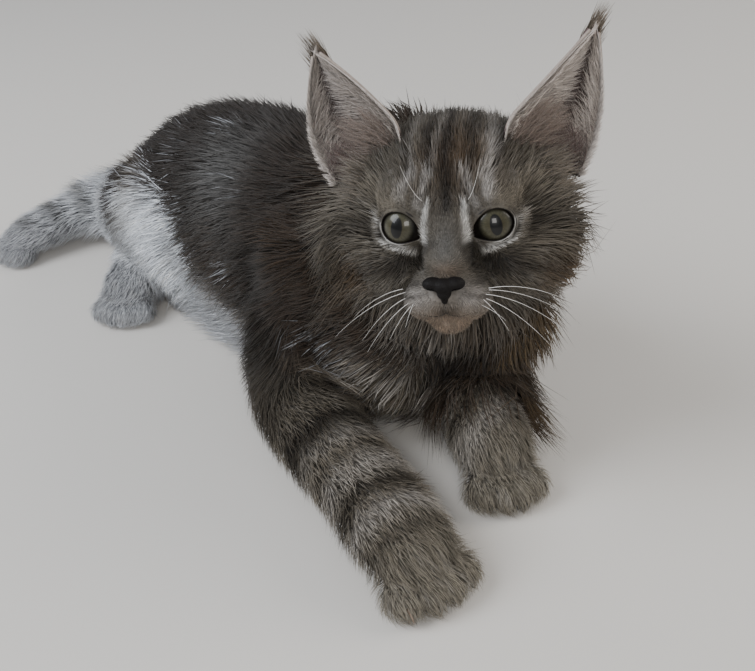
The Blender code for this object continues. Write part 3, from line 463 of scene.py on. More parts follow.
def neckColours(points):
    local = headLocal(points)
    wobble = waves(points, 9, 0.2)
    streaks = waves(points * (1, 1, 0.4), 3.6, 1.2)
    c = np.tile(fur["brown"], (len(points), 1))
    c = lay(c, "charcoal", 0.7 * smoothStep(96, 112, points[:, 2]) * smoothStep(-30, 0, points[:, 1]))
    # the pale front is held back at the right shoulder, where the painted shade under the head lies
    front = smoothStep(2, -34, local[:, 1]) * (1 - 0.8 * softBlob(points, (-26, -22, 60), (18, 22, 24)))
    c = lay(c, "greyBeige", 0.8 * front)
    c = lay(c, "pale", 0.9 * front * smoothStep(-0.1, 0.5, streaks))
    # painted light: warm sand on the left side of the ruff below the head, the glow of backlight through the fur
    c = lay(c, "backlitSand", 0.3 * smoothStep(8, 34, local[:, 0]) * smoothStep(-22, -38, local[:, 2]))
    # painted shade: dark streaks in the gaps between the locks
    c = lay(c, "dark", 0.6 * smoothStep(0.1, 0.7, -streaks))
    # painted shade: darker at the right shoulder under the cheek and ruff, where the head shades it
    c = lay(c, "dark", 0.6 * softBlob(points, (-28, -20, 60), (18, 18, 22)))
    return c * (1 + 0.1 * wobble + 0.1 * streaks)[:, None]


# darker between the toes: three lines along the paw, from the knuckles forwards
def toeShade(c, points, name):
    foot, heading, halfWidth, _ = paws[name]
    local = (points - np.array(foot)) @ turned(heading)
    side = local[:, 0] / (halfWidth - toes["radius"])
    ahead = smoothStep(-2, -9, local[:, 1]) * (np.abs(side) < 1)
    groove = np.exp(-(((side + 1) * 1.5 % 1 - 0.5) / 0.16) ** 2)
    return lay(c, "dark", 0.3 * ahead * groove)


# bands across a foreleg: y, half width, strength of the dark bars and of the light bands
legBands = {
    "forelegRight": {"dark": ((-50, 9, 0.85), (-72, 3, 0.4), (-95, 4.5, 0.75), (-118, 3.5, 0.6)),
                     "light": ((-61, 4, 0.35), (-82, 7, 0.45), (-107, 4.5, 0.6))},
    "forelegLeft": {"dark": ((-48, 9, 0.7), (-72, 4.5, 0.5)), "light": ((-60, 6, 0.5), (-84, 6, 0.55))},
}


def forelegColours(points, name):
    x, y, z = points.T
    wobble = waves(points, 6, 0.9)
    fine = waves(points, 2.2, 1.9)
    inner = 0.35 * x if name == "forelegRight" else -0.35 * x
    c = np.tile(fur["greyBeige"] * 0.8, (len(points), 1))
    c = lay(c, "pale", 0.25 * smoothStep(0.1, 0.8, fine))
    for centre, half, strength in legBands[name]["light"]:
        c = lay(c, "pale", strength * np.exp(-((y + inner * 0.4 - centre + 3 * wobble) / half) ** 2))
    for centre, half, strength in legBands[name]["dark"]:
        off = (y + inner * 0.4 - centre + 3.4 * wobble + 1.4 * fine) / half
        c = lay(c, "dark", strength * np.exp(-off ** 2))
    c = lay(c, "dark", 0.8 * smoothStep(34, 62, z))
    c = lay(c, "dark", 0.65 * smoothStep(-38, -14, y))
    foot = paws[name][0]
    nearPaw = softBlob(points, (foot[0], foot[1] - 12, 10), (26, 20, 16))
    c = lay(c, "pawLight", 0.85 * nearPaw)
    c = lay(c, "dark", 0.45 * nearPaw * smoothStep(0.1, 0.7, fine))
    c = lay(c, "pale", 0.5 * nearPaw * smoothStep(0.1, 0.7, -fine))
    c = toeShade(c, points, name)
    return c * (1 + 0.1 * wobble + 0.14 * fine)[:, None]


def hindColours(points, name):
    wobble = waves(points, 7, 0.5)
    fine = waves(points, 2.4, 1.1)
    c = bodyColours(points)
    c = lay(c, "silver", 0.6 * smoothStep(52, 20, points[:, 2]))
    foot = paws[name][0]
    near = softBlob(points, (foot[0], foot[1], 10), (30, 30, 18))
    c = lay(c, "mist", 0.9 * near)
    c = lay(c, "ash", 0.35 * near * smoothStep(0.1, 0.7, fine))
    if name == "hindLeft":
        out = smoothStep(232, 252, points[:, 1])
        c = lay(c, "mist", 0.85 * out)
        bars = np.sin((points[:, 0] + 7 + 3 * wobble) / 3.4)
        upper = smoothStep(17, 27, points[:, 2] + 2 * wobble)
        c = lay(c, "slate", 0.9 * out * smoothStep(-0.1, 0.8, bars) * upper)
    return c * (1 + 0.08 * wobble + 0.1 * fine)[:, None]


# dark rings about 22 mm apart along the tail, and a dark tip
def tailColours(points):
    wobble = waves(points, 8, 0.6)
    fine = waves(points, 2.4, 0.3)
    rows = smoothRows(bodyForm["tail"], 5)[:, :3]
    along = 5.0 * np.argmin(((points[:, None] - rows) ** 2).sum(-1), 1)
    ring = np.sin(along / 3.5 + 0.7 * wobble)
    c = np.tile(fur["ash"] * 0.8, (len(points), 1))
    c = lay(c, "pale", 0.4 * smoothStep(0.0, 0.9, -ring))
    c = lay(c, "charcoal", 0.85 * smoothStep(0.0, 0.8, ring))
    c = lay(c, "charcoal", 0.7 * smoothStep(5 * len(rows) - 45, 5 * len(rows) - 15, along))
    return c * (1 + 0.08 * wobble + 0.1 * fine)[:, None]


# each part's own colours, mixed by how much of each part is near
def markings(points, shares):
    makers = [bodyColours, neckColours, headColours, tailColours,
              lambda p: forelegColours(p, "forelegRight"), lambda p: forelegColours(p, "forelegLeft"),
              lambda p: hindColours(p, "hindRight"), lambda p: hindColours(p, "hindLeft")]
    result = np.zeros((len(points), 3))
    for number, maker in enumerate(makers):
        near = shares[:, number] > 0.004
        if near.any():
            result[near] += shares[near, number, None] * maker(points[near])
    return np.clip(result, 0.003, 0.9)


# Meshes from arrays

# corners in metres, triangles as rows of three; attributes are per point, UV maps per triangle corner
def meshFrom(name, corners, triangles, material, colours=None, values=None, maps=None, smooth=True):
    mesh = bpy.data.meshes.new(name)
    mesh.vertices.add(len(corners))
    mesh.vertices.foreach_set("co", np.ascontiguousarray(corners, np.float32).ravel())
    mesh.loops.add(triangles.size)
    mesh.loops.foreach_set("vertex_index", np.ascontiguousarray(triangles, np.int32).ravel())
    mesh.polygons.add(len(triangles))
    mesh.polygons.foreach_set("loop_start", np.arange(0, triangles.size, 3, dtype=np.int32))
    mesh.update(calc_edges=True)
    mesh.polygons.foreach_set("use_smooth", np.full(len(triangles), smooth))
    if colours is not None:
        layer = mesh.color_attributes.new("coatColour", "FLOAT_COLOR", "POINT")
        rows = np.column_stack((colours, np.ones(len(colours)))).astype(np.float32)
        layer.data.foreach_set("color", rows.ravel())
    for label, numbers in (values or {}).items():
        mesh.attributes.new(label, "FLOAT", "POINT").data.foreach_set("value", numbers.astype(np.float32))
    for label, places in (maps or {}).items():
        mesh.uv_layers.new(name=label).data.foreach_set("uv", places.astype(np.float32).ravel())
    mesh.materials.append(material)
    mesh.update()
    made = bpy.data.objects.new(name, mesh)
    bpy.context.scene.collection.objects.link(made)
    return made


# points of a sphere on a grid of angles, poles closed
def unitSphere(around=20, rows=12):
    turn = np.linspace(0, 2 * np.pi, around, endpoint=False)
    tilt = np.linspace(0, np.pi, rows + 1)[1:-1]
    ring = np.stack((np.outer(np.sin(tilt), np.cos(turn)), np.outer(np.sin(tilt), np.sin(turn)),
                     np.outer(np.cos(tilt), np.ones(around))), -1).reshape(-1, 3)
    corners = np.vstack(([[0, 0, 1]], ring, [[0, 0, -1]]))
    faces = []
    last = len(corners) - 1
    step = np.arange(around)
    after = (step + 1) % around
    faces.append(np.stack((np.zeros(around, int), 1 + step, 1 + after), -1))
    for row in range(rows - 2):
        a, b = 1 + row * around, 1 + (row + 1) * around
        faces.append(np.stack((a + step, b + step, b + after), -1))
        faces.append(np.stack((a + step, b + after, a + after), -1))
    end = 1 + (rows - 2) * around
    faces.append(np.stack((end + step, np.full(around, last), end + after), -1))
    return corners, np.vstack(faces)


def joinShapes(shapes):
    corners, faces, count = [], [], 0
    for points, triangles in shapes:
        corners.append(points)
        faces.append(triangles + count)
        count += len(points)
    return np.vstack(corners), np.vstack(faces)


def applyAll(thing):
    graph = bpy.context.evaluated_depsgraph_get()
    mesh = bpy.data.meshes.new_from_object(thing.evaluated_get(graph))
    thing.modifiers.clear()
    thing.data = mesh
    return thing


def meshArrays(thing):
    mesh = thing.data
    mesh.calc_loop_triangles()
    corners = np.empty(len(mesh.vertices) * 3)
    mesh.vertices.foreach_get("co", corners)
    triangles = np.empty(len(mesh.loop_triangles) * 3, int)
    mesh.loop_triangles.foreach_get("vertices", triangles)
    return corners.reshape(-1, 3), triangles.reshape(-1, 3)


# Materials

# Colour of one tuft: darker at the root, lighter at the tip, with fine strands running along it
def makeStrandGroup():
    group = bpy.data.node_groups.new("strandTint", "ShaderNodeTree")
    group.interface.new_socket("Colour", in_out="INPUT", socket_type="NodeSocketColor")
    for label in ("Across", "Along", "Seed", "Root shade", "Tip light", "Strand contrast"):
        group.interface.new_socket(label, in_out="INPUT", socket_type="NodeSocketFloat")
    group.interface.new_socket("Colour", in_out="OUTPUT", socket_type="NodeSocketColor")
    group.interface.new_socket("Height", in_out="OUTPUT", socket_type="NodeSocketFloat")
    nodes, links = group.nodes, group.links
    given, out = nodes.new("NodeGroupInput"), nodes.new("NodeGroupOutput")
    place = nodes.new("ShaderNodeCombineXYZ")
    stretch = nodes.new("ShaderNodeVectorMath")
    stretch.operation = "MULTIPLY"
    stretch.inputs[1].default_value = (5.0, 1.3, 60.0)
    links.new(given.outputs["Across"], place.inputs[0])
    links.new(given.outputs["Along"], place.inputs[1])
    links.new(given.outputs["Seed"], place.inputs[2])
    links.new(place.outputs[0], stretch.inputs[0])
    noise = nodes.new("ShaderNodeTexNoise")
    noise.inputs["Scale"].default_value = 1.6
    noise.inputs["Detail"].default_value = 2
    links.new(stretch.outputs[0], noise.inputs["Vector"])
    centred = nodes.new("ShaderNodeMath")
    centred.operation = "SUBTRACT"
    centred.inputs[1].default_value = 0.5
    links.new(noise.outputs[0], centred.inputs[0])
    contrast = nodes.new("ShaderNodeMath")
    contrast.operation = "MULTIPLY"
    links.new(centred.outputs[0], contrast.inputs[0])
    links.new(given.outputs["Strand contrast"], contrast.inputs[1])
    shade = nodes.new("ShaderNodeMapRange")
    shade.interpolation_type = "SMOOTHSTEP"
    links.new(given.outputs["Along"], shade.inputs["Value"])
    links.new(given.outputs["Root shade"], shade.inputs["To Min"])
    links.new(given.outputs["Tip light"], shade.inputs["To Max"])
    both = nodes.new("ShaderNodeMath")
    links.new(shade.outputs[0], both.inputs[0])
    links.new(contrast.outputs[0], both.inputs[1])
    tint = nodes.new("ShaderNodeVectorMath")
    tint.operation = "SCALE"
    links.new(given.outputs["Colour"], tint.inputs[0])
    links.new(both.outputs[0], tint.inputs["Scale"])
    links.new(tint.outputs[0], out.inputs["Colour"])
    links.new(noise.outputs[0], out.inputs["Height"])
    return group


strandGroup = makeStrandGroup()


def newMaterial(name, roughness=0.6, specular=0.35):
    material = bpy.data.materials.new(name)
    material.use_nodes = True
    shader = material.node_tree.nodes["Principled BSDF"]
    shader.inputs["Roughness"].default_value = roughness
    shader.inputs["Specular IOR Level"].default_value = specular
    return material, material.node_tree.nodes, material.node_tree.links, shader


def readAttribute(nodes, name):
    node = nodes.new("ShaderNodeAttribute")
    node.attribute_name = name
    return node


def bumpFrom(nodes, links, height, shader, strength, distance):
    bump = nodes.new("ShaderNodeBump")
    bump.inputs["Strength"].default_value = strength
    bump.inputs["Distance"].default_value = distance
    links.new(height, bump.inputs["Height"])
    links.new(bump.outputs["Normal"], shader.inputs["Normal"])


def makeTuftMaterial(name, rootShade, tipLight, contrast, roughness, sheen):
    material, nodes, links, shader = newMaterial(name, roughness, 0.14)
    shader.inputs["Sheen Weight"].default_value = sheen
    shader.inputs["Sheen Roughness"].default_value = 0.4
    strand = nodes.new("ShaderNodeUVMap")
    strand.uv_map = "strand"
    split = nodes.new("ShaderNodeSeparateXYZ")
    links.new(strand.outputs[0], split.inputs[0])
    group = nodes.new("ShaderNodeGroup")
    group.node_tree = strandGroup
    group.inputs["Root shade"].default_value = rootShade
    group.inputs["Tip light"].default_value = tipLight
    group.inputs["Strand contrast"].default_value = contrast
    links.new(readAttribute(nodes, "coatColour").outputs["Color"], group.inputs["Colour"])
    links.new(split.outputs[0], group.inputs["Across"])
    links.new(split.outputs[1], group.inputs["Along"])
    links.new(readAttribute(nodes, "seed").outputs["Fac"], group.inputs["Seed"])
    links.new(group.outputs["Colour"], shader.inputs["Base Color"])
    bumpFrom(nodes, links, group.outputs["Height"], shader, 0.3, 0.0002)
    return material


# fine short hair as bump: noise on object coordinates
def makeSkinMaterial(name, shade, grain, strength, roughness=0.7):
    material, nodes, links, shader = newMaterial(name, roughness, 0.25)
    place = nodes.new("ShaderNodeTexCoord")
    noise = nodes.new("ShaderNodeTexNoise")
    noise.inputs["Scale"].default_value = grain
    noise.inputs["Detail"].default_value = 5
    links.new(place.outputs["Object"], noise.inputs["Vector"])
    level = nodes.new("ShaderNodeMapRange")
    level.inputs["To Min"].default_value = shade * 0.55
    level.inputs["To Max"].default_value = shade * 1.45
    links.new(noise.outputs[0], level.inputs["Value"])
    tint = nodes.new("ShaderNodeVectorMath")
    tint.operation = "SCALE"
    links.new(readAttribute(nodes, "coatColour").outputs["Color"], tint.inputs[0])
    links.new(level.outputs[0], tint.inputs["Scale"])
    links.new(tint.outputs[0], shader.inputs["Base Color"])
    bumpFrom(nodes, links, noise.outputs[0], shader, strength, 0.0006)
    return material


longFur = makeTuftMaterial("longFur", 0.5, 1.3, 0.8, 0.8, 0.08)
shortFur = makeTuftMaterial("shortFur", 0.6, 1.25, 0.8, 0.8, 0.06)
# painted shade: the skin seen between the tufts is darkened to about 0.6 of the markings, for the shadow deep in
# the coat
underFur = makeSkinMaterial("underFur", 0.6, 900, 0.7)
earSkin = makeSkinMaterial("earSkin", 0.9, 700, 0.35, 0.55)

# The skin

eyeForm = {"place": (16.5, -23.6, 4), "radius": 9.4, "outward": 14, "up": 4, "slant": 9,
           "opening": (7.4, 6.2), "corner": 1.9, "cornerDrop": 1.3, "lid": 1.3, "rim": 0.62}
skinSet = {"voxel": 1.6, "smoothing": 4, "floor": 0.4}


def eyeTurn(side):
    return turned(-side * eyeForm["outward"], eyeForm["up"], side * eyeForm["slant"])


def eyeCentre(side):
    return np.array((side * eyeForm["place"][0], *eyeForm["place"][1:]))


# the lids' edge in the gaze frame: an ellipse drawn out and down towards the nose
def lidEdge(side, angles, grow=0.0):
    inner = np.clip(-side * np.cos(angles), 0, 1) ** 4
    x = (eyeForm["opening"][0] + grow) * np.cos(angles) - side * eyeForm["corner"] * inner
    z = (eyeForm["opening"][1] + grow) * np.sin(angles) - eyeForm["cornerDrop"] * inner
    return x, z


# points of the gaze frame in the row's frame, mm
def fromGaze(side, points):
    return fromHead(points @ eyeTurn(side).T + eyeCentre(side))


def headBallMesh(side, radius):
    corners, faces = unitSphere(48, 28)
    return fromGaze(side, corners * radius), faces


# a straight-sided plug with the outline of the open lids
def lidPlug(side):
    angles = np.linspace(0, 2 * np.pi, 48, endpoint=False)
    x, z = lidEdge(side, angles)
    inside = np.stack((x, np.zeros(48), z), -1)
    outside = inside + (0, -20, 0)
    corners = np.vstack((inside, outside, [[0, 0, 0]], [[0, -20, 0]]))
    step = np.arange(48)
    after = (step + 1) % 48
    faces = np.vstack((np.stack((step, after, after + 48), -1), np.stack((step, after + 48, step + 48), -1),
                       np.stack((after, step, np.full(48, 96)), -1),
                       np.stack((step + 48, after + 48, np.full(48, 97)), -1)))
    return fromGaze(side, corners), faces


def cut(thing, corners, faces):
    tool = meshFrom("cutter", corners * mm, faces, underFur)
    bools = thing.modifiers.new("cut", "BOOLEAN")
    bools.operation = "DIFFERENCE"
    bools.solver = "MANIFOLD"
    bools.object = tool
    applyAll(thing)
    bpy.data.objects.remove(tool)


def fuse(name, shapes, voxel, smoothing, material):
    corners, faces = joinShapes(shapes)
    thing = meshFrom(name, corners * mm, faces, material)
    remesh = thing.modifiers.new("fuse", "REMESH")
    remesh.mode = "VOXEL"
    remesh.voxel_size = voxel * mm
    soften = thing.modifiers.new("soften", "SMOOTH")
    soften.factor = 0.5
    soften.iterations = smoothing
    return applyAll(thing)


def makeSkin():
    sphere, faces = unitSphere()
    shapes = [(sphere @ axes.T + centre, faces) for centre, axes, *_ in balls]
    shapes += [headBallMesh(side, eyeForm["radius"] + eyeForm["lid"]) for side in (1, -1)]
    thing = fuse("skin", shapes, skinSet["voxel"], skinSet["smoothing"], underFur)
    for side in (1, -1):
        cut(thing, *headBallMesh(side, eyeForm["radius"] + 0.2))
        cut(thing, *lidPlug(side))
    corners, triangles = meshArrays(thing)
    bpy.data.objects.remove(thing)
    corners[:, 2] = np.maximum(corners[:, 2], skinSet["floor"] * mm)
    points = corners / mm
    shares = readField(points)[4]
    return meshFrom("skin", corners, triangles, underFur, markings(points, shares))


skin = makeSkin()
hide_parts("head", "neck", "torso", "tail", "foreleg_right", "foreleg_left",
            "hind_leg_right", "hind_leg_left")
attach(skin, "root")
report(f"skin of {len(skin.data.polygons)} faces")

# Tufts


# A tuft is a path of points with a triangle round each but the last: two edges and a ridge, closed at
# the root and drawn to a point at the tip. widths are mm at the root ring, broad is the share at each ring.
def tuftMesh(name, paths, normals, widths, broad, thick, material, colours, seeds, patches):
    count, rings = len(paths), paths.shape[1] - 1
    ahead = unit(paths[:, 1:] - np.concatenate((paths[:, :1], paths[:, :-2]), 1))
    across = unit(np.cross(ahead, normals[:, :-1]))
    upward = np.cross(across, ahead)
    half = (widths[:, None] * np.array(broad) / 2)[..., None]
    middle = paths[:, :-1]
    ring = np.stack((middle + across * half, middle + upward * half * 2 * thick, middle - across * half), 2)
    corners = np.concatenate((ring.reshape(count, rings * 3, 3), paths[:, -1:]), 1)
    corners[..., 2] = np.maximum(corners[..., 2], 0.25)
    faces = [(0, 1, 2)]
    shares = np.linspace(0, 1, rings + 1)
    sides = (0.0, 0.5, 1.0)
    maps = [((0.0, 0.0), (0.5, 0.0), (1.0, 0.0))]
    for start in range(rings - 1):
        for here, beside in ((0, 1), (1, 2), (2, 0)):
            low, lowNext = 3 * start + here, 3 * start + beside
            high, highNext = low + 3, lowNext + 3
            faces += [(low, highNext, lowNext), (low, high, highNext)]
            uLow, uNext, vLow, vHigh = sides[here], sides[beside], shares[start], shares[start + 1]
            maps += [((uLow, vLow), (uNext, vHigh), (uNext, vLow)),
                     ((uLow, vLow), (uLow, vHigh), (uNext, vHigh))]
    last, end = rings * 3, shares[rings - 1]
    for here, beside in ((0, 1), (1, 2), (2, 0)):
        faces.append((last - 3 + here, last, last - 3 + beside))
        maps.append(((sides[here], end), (0.5, 1.0), (sides[beside], end)))
    size = last + 1
    faces = (np.array(faces)[None] + size * np.arange(count)[:, None, None]).reshape(-1, 3)
    local = np.array(maps).reshape(-1, 2)
    strand = np.tile(local, (count, 1))
    patch = (patches[:, None] + local[None] * 0.003).reshape(-1, 2)
    thing = meshFrom(name, corners.reshape(-1, 3) * mm, faces, material, np.repeat(colours, size, 0),
                     {"seed": np.repeat(seeds, size)}, {"OFBake": patch, "strand": strand})
    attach(thing, "root")
    return thing


earHair = makeTuftMaterial("earHair", 0.75, 1.25, 0.6, 0.75, 0.2)

# which way the hair lies, in the row's frame: on the head away from the nose and round the eyes, on the
# neck away from the head and down, on the trunk back and down and out along the floor, else as stored
lieSet = {"nose": (0, -50, -12), "eyeReach": 12.5, "eyePush": 2.6}


def lieOf(points, normals, stored, shares):
    local = headLocal(points)
    head = unit(local - np.array(lieSet["nose"]))
    head = head + np.array((0, 0.1, -0.4)) * smoothStep(8, -14, local[:, 2])[:, None]
    head = head + np.array((0, 0.1, -0.35)) * smoothStep(30, 44, np.abs(local[:, 0]))[:, None]
    for side in (1, -1):
        away = local - eyeCentre(side)
        near = np.exp(-((away ** 2).sum(1) / lieSet["eyeReach"] ** 2)) * (local[:, 1] < -14)
        head = head + lieSet["eyePush"] * near[:, None] * unit(away * (1, 0.2, 1))
    head = head @ headTurn.T
    neck = unit(points - headCentre) + np.array((0, 0.25, -0.55))
    spread = np.clip(1 - points[:, 2] / 26, 0, 1)
    trunk = np.stack((normals[:, 0] * spread * 1.2, 0.8 + normals[:, 1] * spread,
                      -0.55 * np.abs(normals[:, 0]) * (1 - 0.7 * spread)), -1)
    out = normals * (0.35 * spread)[:, None]
    limbs = shares[:, 3:].sum(1, keepdims=True)
    return head * shares[:, 2:3] + neck * shares[:, 1:2] + trunk * shares[:, 0:1] + (stored + out) * limbs


# carries every tuft along the lie in steps, laid back on the field at its height each time
def layTufts(roots, lengths, heights, turnsBy, shares):
    place = roots.copy()
    first = readField(place)[0]
    paths, normals = [], []
    before = 0.0
    for share in shares:
        _, normal, _, stored, parts = readField(place)
        lie = lieOf(place, normal, stored, parts)
        lie = unit(lie - normal * (lie * normal).sum(1, keepdims=True))
        cosine, sine = np.cos(turnsBy)[:, None], np.sin(turnsBy)[:, None]
        lie = lie * cosine + np.cross(normal, lie) * sine
        place = place + lie * ((share - before) * lengths)[:, None]
        before = share
        for _ in range(2):
            distance, normal, *_ = readField(place)
            want = -0.35 + (heights + 0.35) * share ** 0.8
            place = place + normal * np.clip(want + first - distance, -6, 6)[:, None]
            place[:, 2] = np.maximum(place[:, 2], 0.6)
        paths.append(place.copy())
        normals.append(normal)
    return np.stack(paths, 1), np.stack(normals, 1)


# tips lean towards the middle of their clump: roots are sorted into jittered cells and averaged
def gather(paths, roots, cell, pull, shares, seed):
    jitter = np.stack([waves(roots, cell * 1.5, seed + k) for k in range(3)], -1)
    keys = np.floor((roots + 0.35 * cell * jitter) / cell)
    _, clump = np.unique(keys, axis=0, return_inverse=True)
    clump = clump.ravel()
    number = np.bincount(clump)
    means = np.stack([np.bincount(clump, roots[:, k]) / number for k in range(3)], -1)
    inward = means[clump] - roots
    far = np.maximum(np.linalg.norm(inward, axis=1), 1e-6)
    inward = inward * np.minimum(1, 1.5 * cell / far)[:, None]
    for index, share in enumerate(shares):
        paths[:, index] += inward * pull * share ** 1.2
    paths[..., 2] = np.maximum(paths[..., 2], 0.6)
    return clump


# an unwrap of the skin: tiles for the parts, in each the angle round the limb and the way along it
def patchPlaces(roots, parts):
    places = np.zeros((len(roots), 2))
    for number, name in enumerate(partNames):
        mine = parts == number
        if not mine.any():
            continue
        p = roots[mine]
        if name == "head":
            local = unit(headLocal(p))
            angle = np.arctan2(local[:, 0], -local[:, 1])
            along = np.arccos(np.clip(local[:, 2], -1, 1)) / np.pi
        else:
            rows = smoothRows(bodyForm[name], 5)
            nearest = np.argmin(((p[:, None] - rows[None, :, :3]) ** 2).sum(-1), 1)
            way = unit(np.gradient(rows[:, :3], axis=0))[nearest]
            off = p - rows[nearest, :3]
            side = unit(np.cross(way, (0, 0, 1)))
            angle = np.arctan2((off * side).sum(1), (off * np.cross(side, way)).sum(1))
            along = (nearest + np.clip((off * way).sum(1) / 5, -1, 1) + 1) / (len(rows) + 2)
        tile = np.array((number % 3, number // 3)) / 3
        places[mine] = tile + 0.01 + 0.306 * np.stack(((angle / np.pi + 1) / 2, np.clip(along, 0, 1)), -1)
    return places


coatTable = {
    "depth": (1.2, 2, 3, 5, 8, 14, 17),
    "length": (2.5, 3.4, 5.2, 9, 17, 34, 38),
    "width": (0.30, 0.32, 0.38, 0.47, 0.61, 0.77, 0.81),
    "spacing": (0.56, 0.64, 0.77, 0.91, 1.18, 1.45, 1.5),
}
coatSet = {"seed": 11, "samples": 1600000, "limbSpacing": 1.34, "underside": -0.55, "strays": 0.06}


def tableAt(row, depth):
    return np.interp(depth, coatTable["depth"], coatTable[row])


# roots: points drawn on the skin by area, one kept in each cell as wide as the spacing there
def makeRoots():
    draw = np.random.default_rng(coatSet["seed"])
    corners, triangles = meshArrays(skin)
    corners = corners / mm
    a, b, c = (corners[triangles[:, k]] for k in range(3))
    area = np.linalg.norm(np.cross(b - a, c - a), axis=1)
    chosen = np.searchsorted(np.cumsum(area), draw.random(coatSet["samples"]) * area.sum())
    chosen = np.minimum(chosen, len(area) - 1)
    u, v = draw.random((2, coatSet["samples"], 1))
    flip = u + v > 1
    u, v = np.where(flip, 1 - u, u), np.where(flip, 1 - v, v)
    points = a[chosen] + (b - a)[chosen] * u + (c - a)[chosen] * v
    distance, normals, depth, _, shares = readField(points)
    local = headLocal(points)
    keep = ~((normals[:, 2] < coatSet["underside"]) & (points[:, 2] < 12)) & (points[:, 2] > 1)
    for side in (1, -1):
        rel = (local - eyeCentre(side)) @ eyeTurn(side)
        x, z = rel[:, 0] + side * 0.4, rel[:, 2]
        x, z = x / (eyeForm["opening"][0] + 1.2), z / (eyeForm["opening"][1] + 1.0)
        inEye = (np.hypot(x, z) < 1) & (rel[:, 1] < 0)
        keep &= ~inEye & ~((np.linalg.norm(rel, axis=1) < eyeForm["radius"] + 0.8) & (distance < -0.8))
    keep &= softBlob(local, (0, -49, -14.5), (8.0, 6, 5.4)) < math.exp(-1)
    dip = 1.4 * np.sin(np.pi * np.clip(np.abs(local[:, 0]) / 13, 0, 1))
    onLips = np.abs(local[:, 2] + 24.6 + dip) < 0.5
    keep &= ~(onLips & (np.abs(local[:, 0]) < 12) & (local[:, 1] < -38))
    points, depth, shares, local = (values[keep] for values in (points, depth, shares, local))
    limbs = shares[:, 4:].sum(1)
    spacing = tableAt("spacing", depth) * (1 + (coatSet["limbSpacing"] - 1) * limbs)
    behind = smoothStep(0, 30, local[:, 1]) * shares[:, 2]
    spacing = spacing * (1 + 0.35 * behind)
    level = np.round(np.log(spacing) / np.log(1.12)).astype(int)
    keys = np.column_stack((level, np.floor(points / (1.12 ** level)[:, None]).astype(int)))
    _, first = np.unique(keys, axis=0, return_index=True)
    first = np.sort(first)
    return points[first], depth[first], shares[first]


rootPlaces, rootDepth, rootShares = makeRoots()
rootPart = np.argmax(rootShares, 1)
rootColours = markings(rootPlaces, rootShares)
rootPatches = patchPlaces(rootPlaces, rootPart)
report(f"{len(rootPlaces)} roots, by part {np.bincount(rootPart, minlength=8).tolist()}")

# each coat: parts, most depth of coat, rings, clump cell and pull, and the piece's name
coats = {
    "coatHead": {"parts": (2,), "rings": (0, 0.45), "broad": (0.9, 0.8),
                 "cell": 2.2, "pull": 0.3, "split": 3},
    "coatNeck": {"parts": (1,), "rings": (0, 0.3, 0.65), "broad": (0.8, 1, 0.75),
                 "cell": 5.5, "pull": 0.5, "split": 2},
    "coatTrunk": {"parts": (0,), "rings": (0, 0.3, 0.65), "broad": (0.8, 1, 0.75),
                  "cell": 6, "pull": 0.45, "split": 4},
    "coatTail": {"parts": (3,), "rings": (0, 0.34, 0.7), "broad": (0.75, 1, 0.7),
                 "cell": 6, "pull": 0.45, "split": 1},
    "coatForeleg": {"parts": (4, 5), "rings": (0, 0.42), "broad": (0.9, 0.75),
                    "cell": 3, "pull": 0.35, "split": 2},
    "coatHindLeg": {"parts": (6, 7), "rings": (0, 0.42), "broad": (0.9, 0.75),
                    "cell": 4, "pull": 0.4, "split": 1},
}


# short and fine round the eyes and on the muzzle, long and flaring on the cheeks
def shapeHeadFur(local, lengths, heights, widths):
    fromEye = np.min([np.linalg.norm(local - eyeCentre(side), axis=1) for side in (1, -1)], axis=0)
    nearEye = smoothStep(15, 11, fromEye) * (local[:, 1] < -10)
    muzzle = smoothStep(-34, -42, local[:, 1])
    finer = 1 - 0.6 * np.maximum(nearEye, 0.6 * muzzle)
    cheek = smoothStep(20, 33, np.abs(local[:, 0])) * smoothStep(36, 24, local[:, 2])
    cheek = cheek * smoothStep(-26, -12, local[:, 1])
    fromEar = np.linalg.norm(np.abs(local) * (1, 0, 0) + local * (0, 1, 1) - (33, 5, 27), axis=1)
    tuft = smoothStep(26, 15, fromEar) * smoothStep(8, -4, local[:, 1])
    lengths = lengths * finer * (1 + 1.1 * cheek) * (1 + 1.3 * tuft)
    upAndDown = 0.8 * smoothStep(-14, 4, local[:, 2]) + 0.6 * smoothStep(-10, -24, local[:, 2])
    flare = 1.2 * cheek * (1 + upAndDown)
    crown = 0.35 * smoothStep(26, 36, local[:, 2]) * smoothStep(30, 20, np.abs(local[:, 0]))
    return lengths, heights * finer * (1 + flare + 0.5 * tuft + crown), widths * (1 - 0.25 * (finer < 0.9))


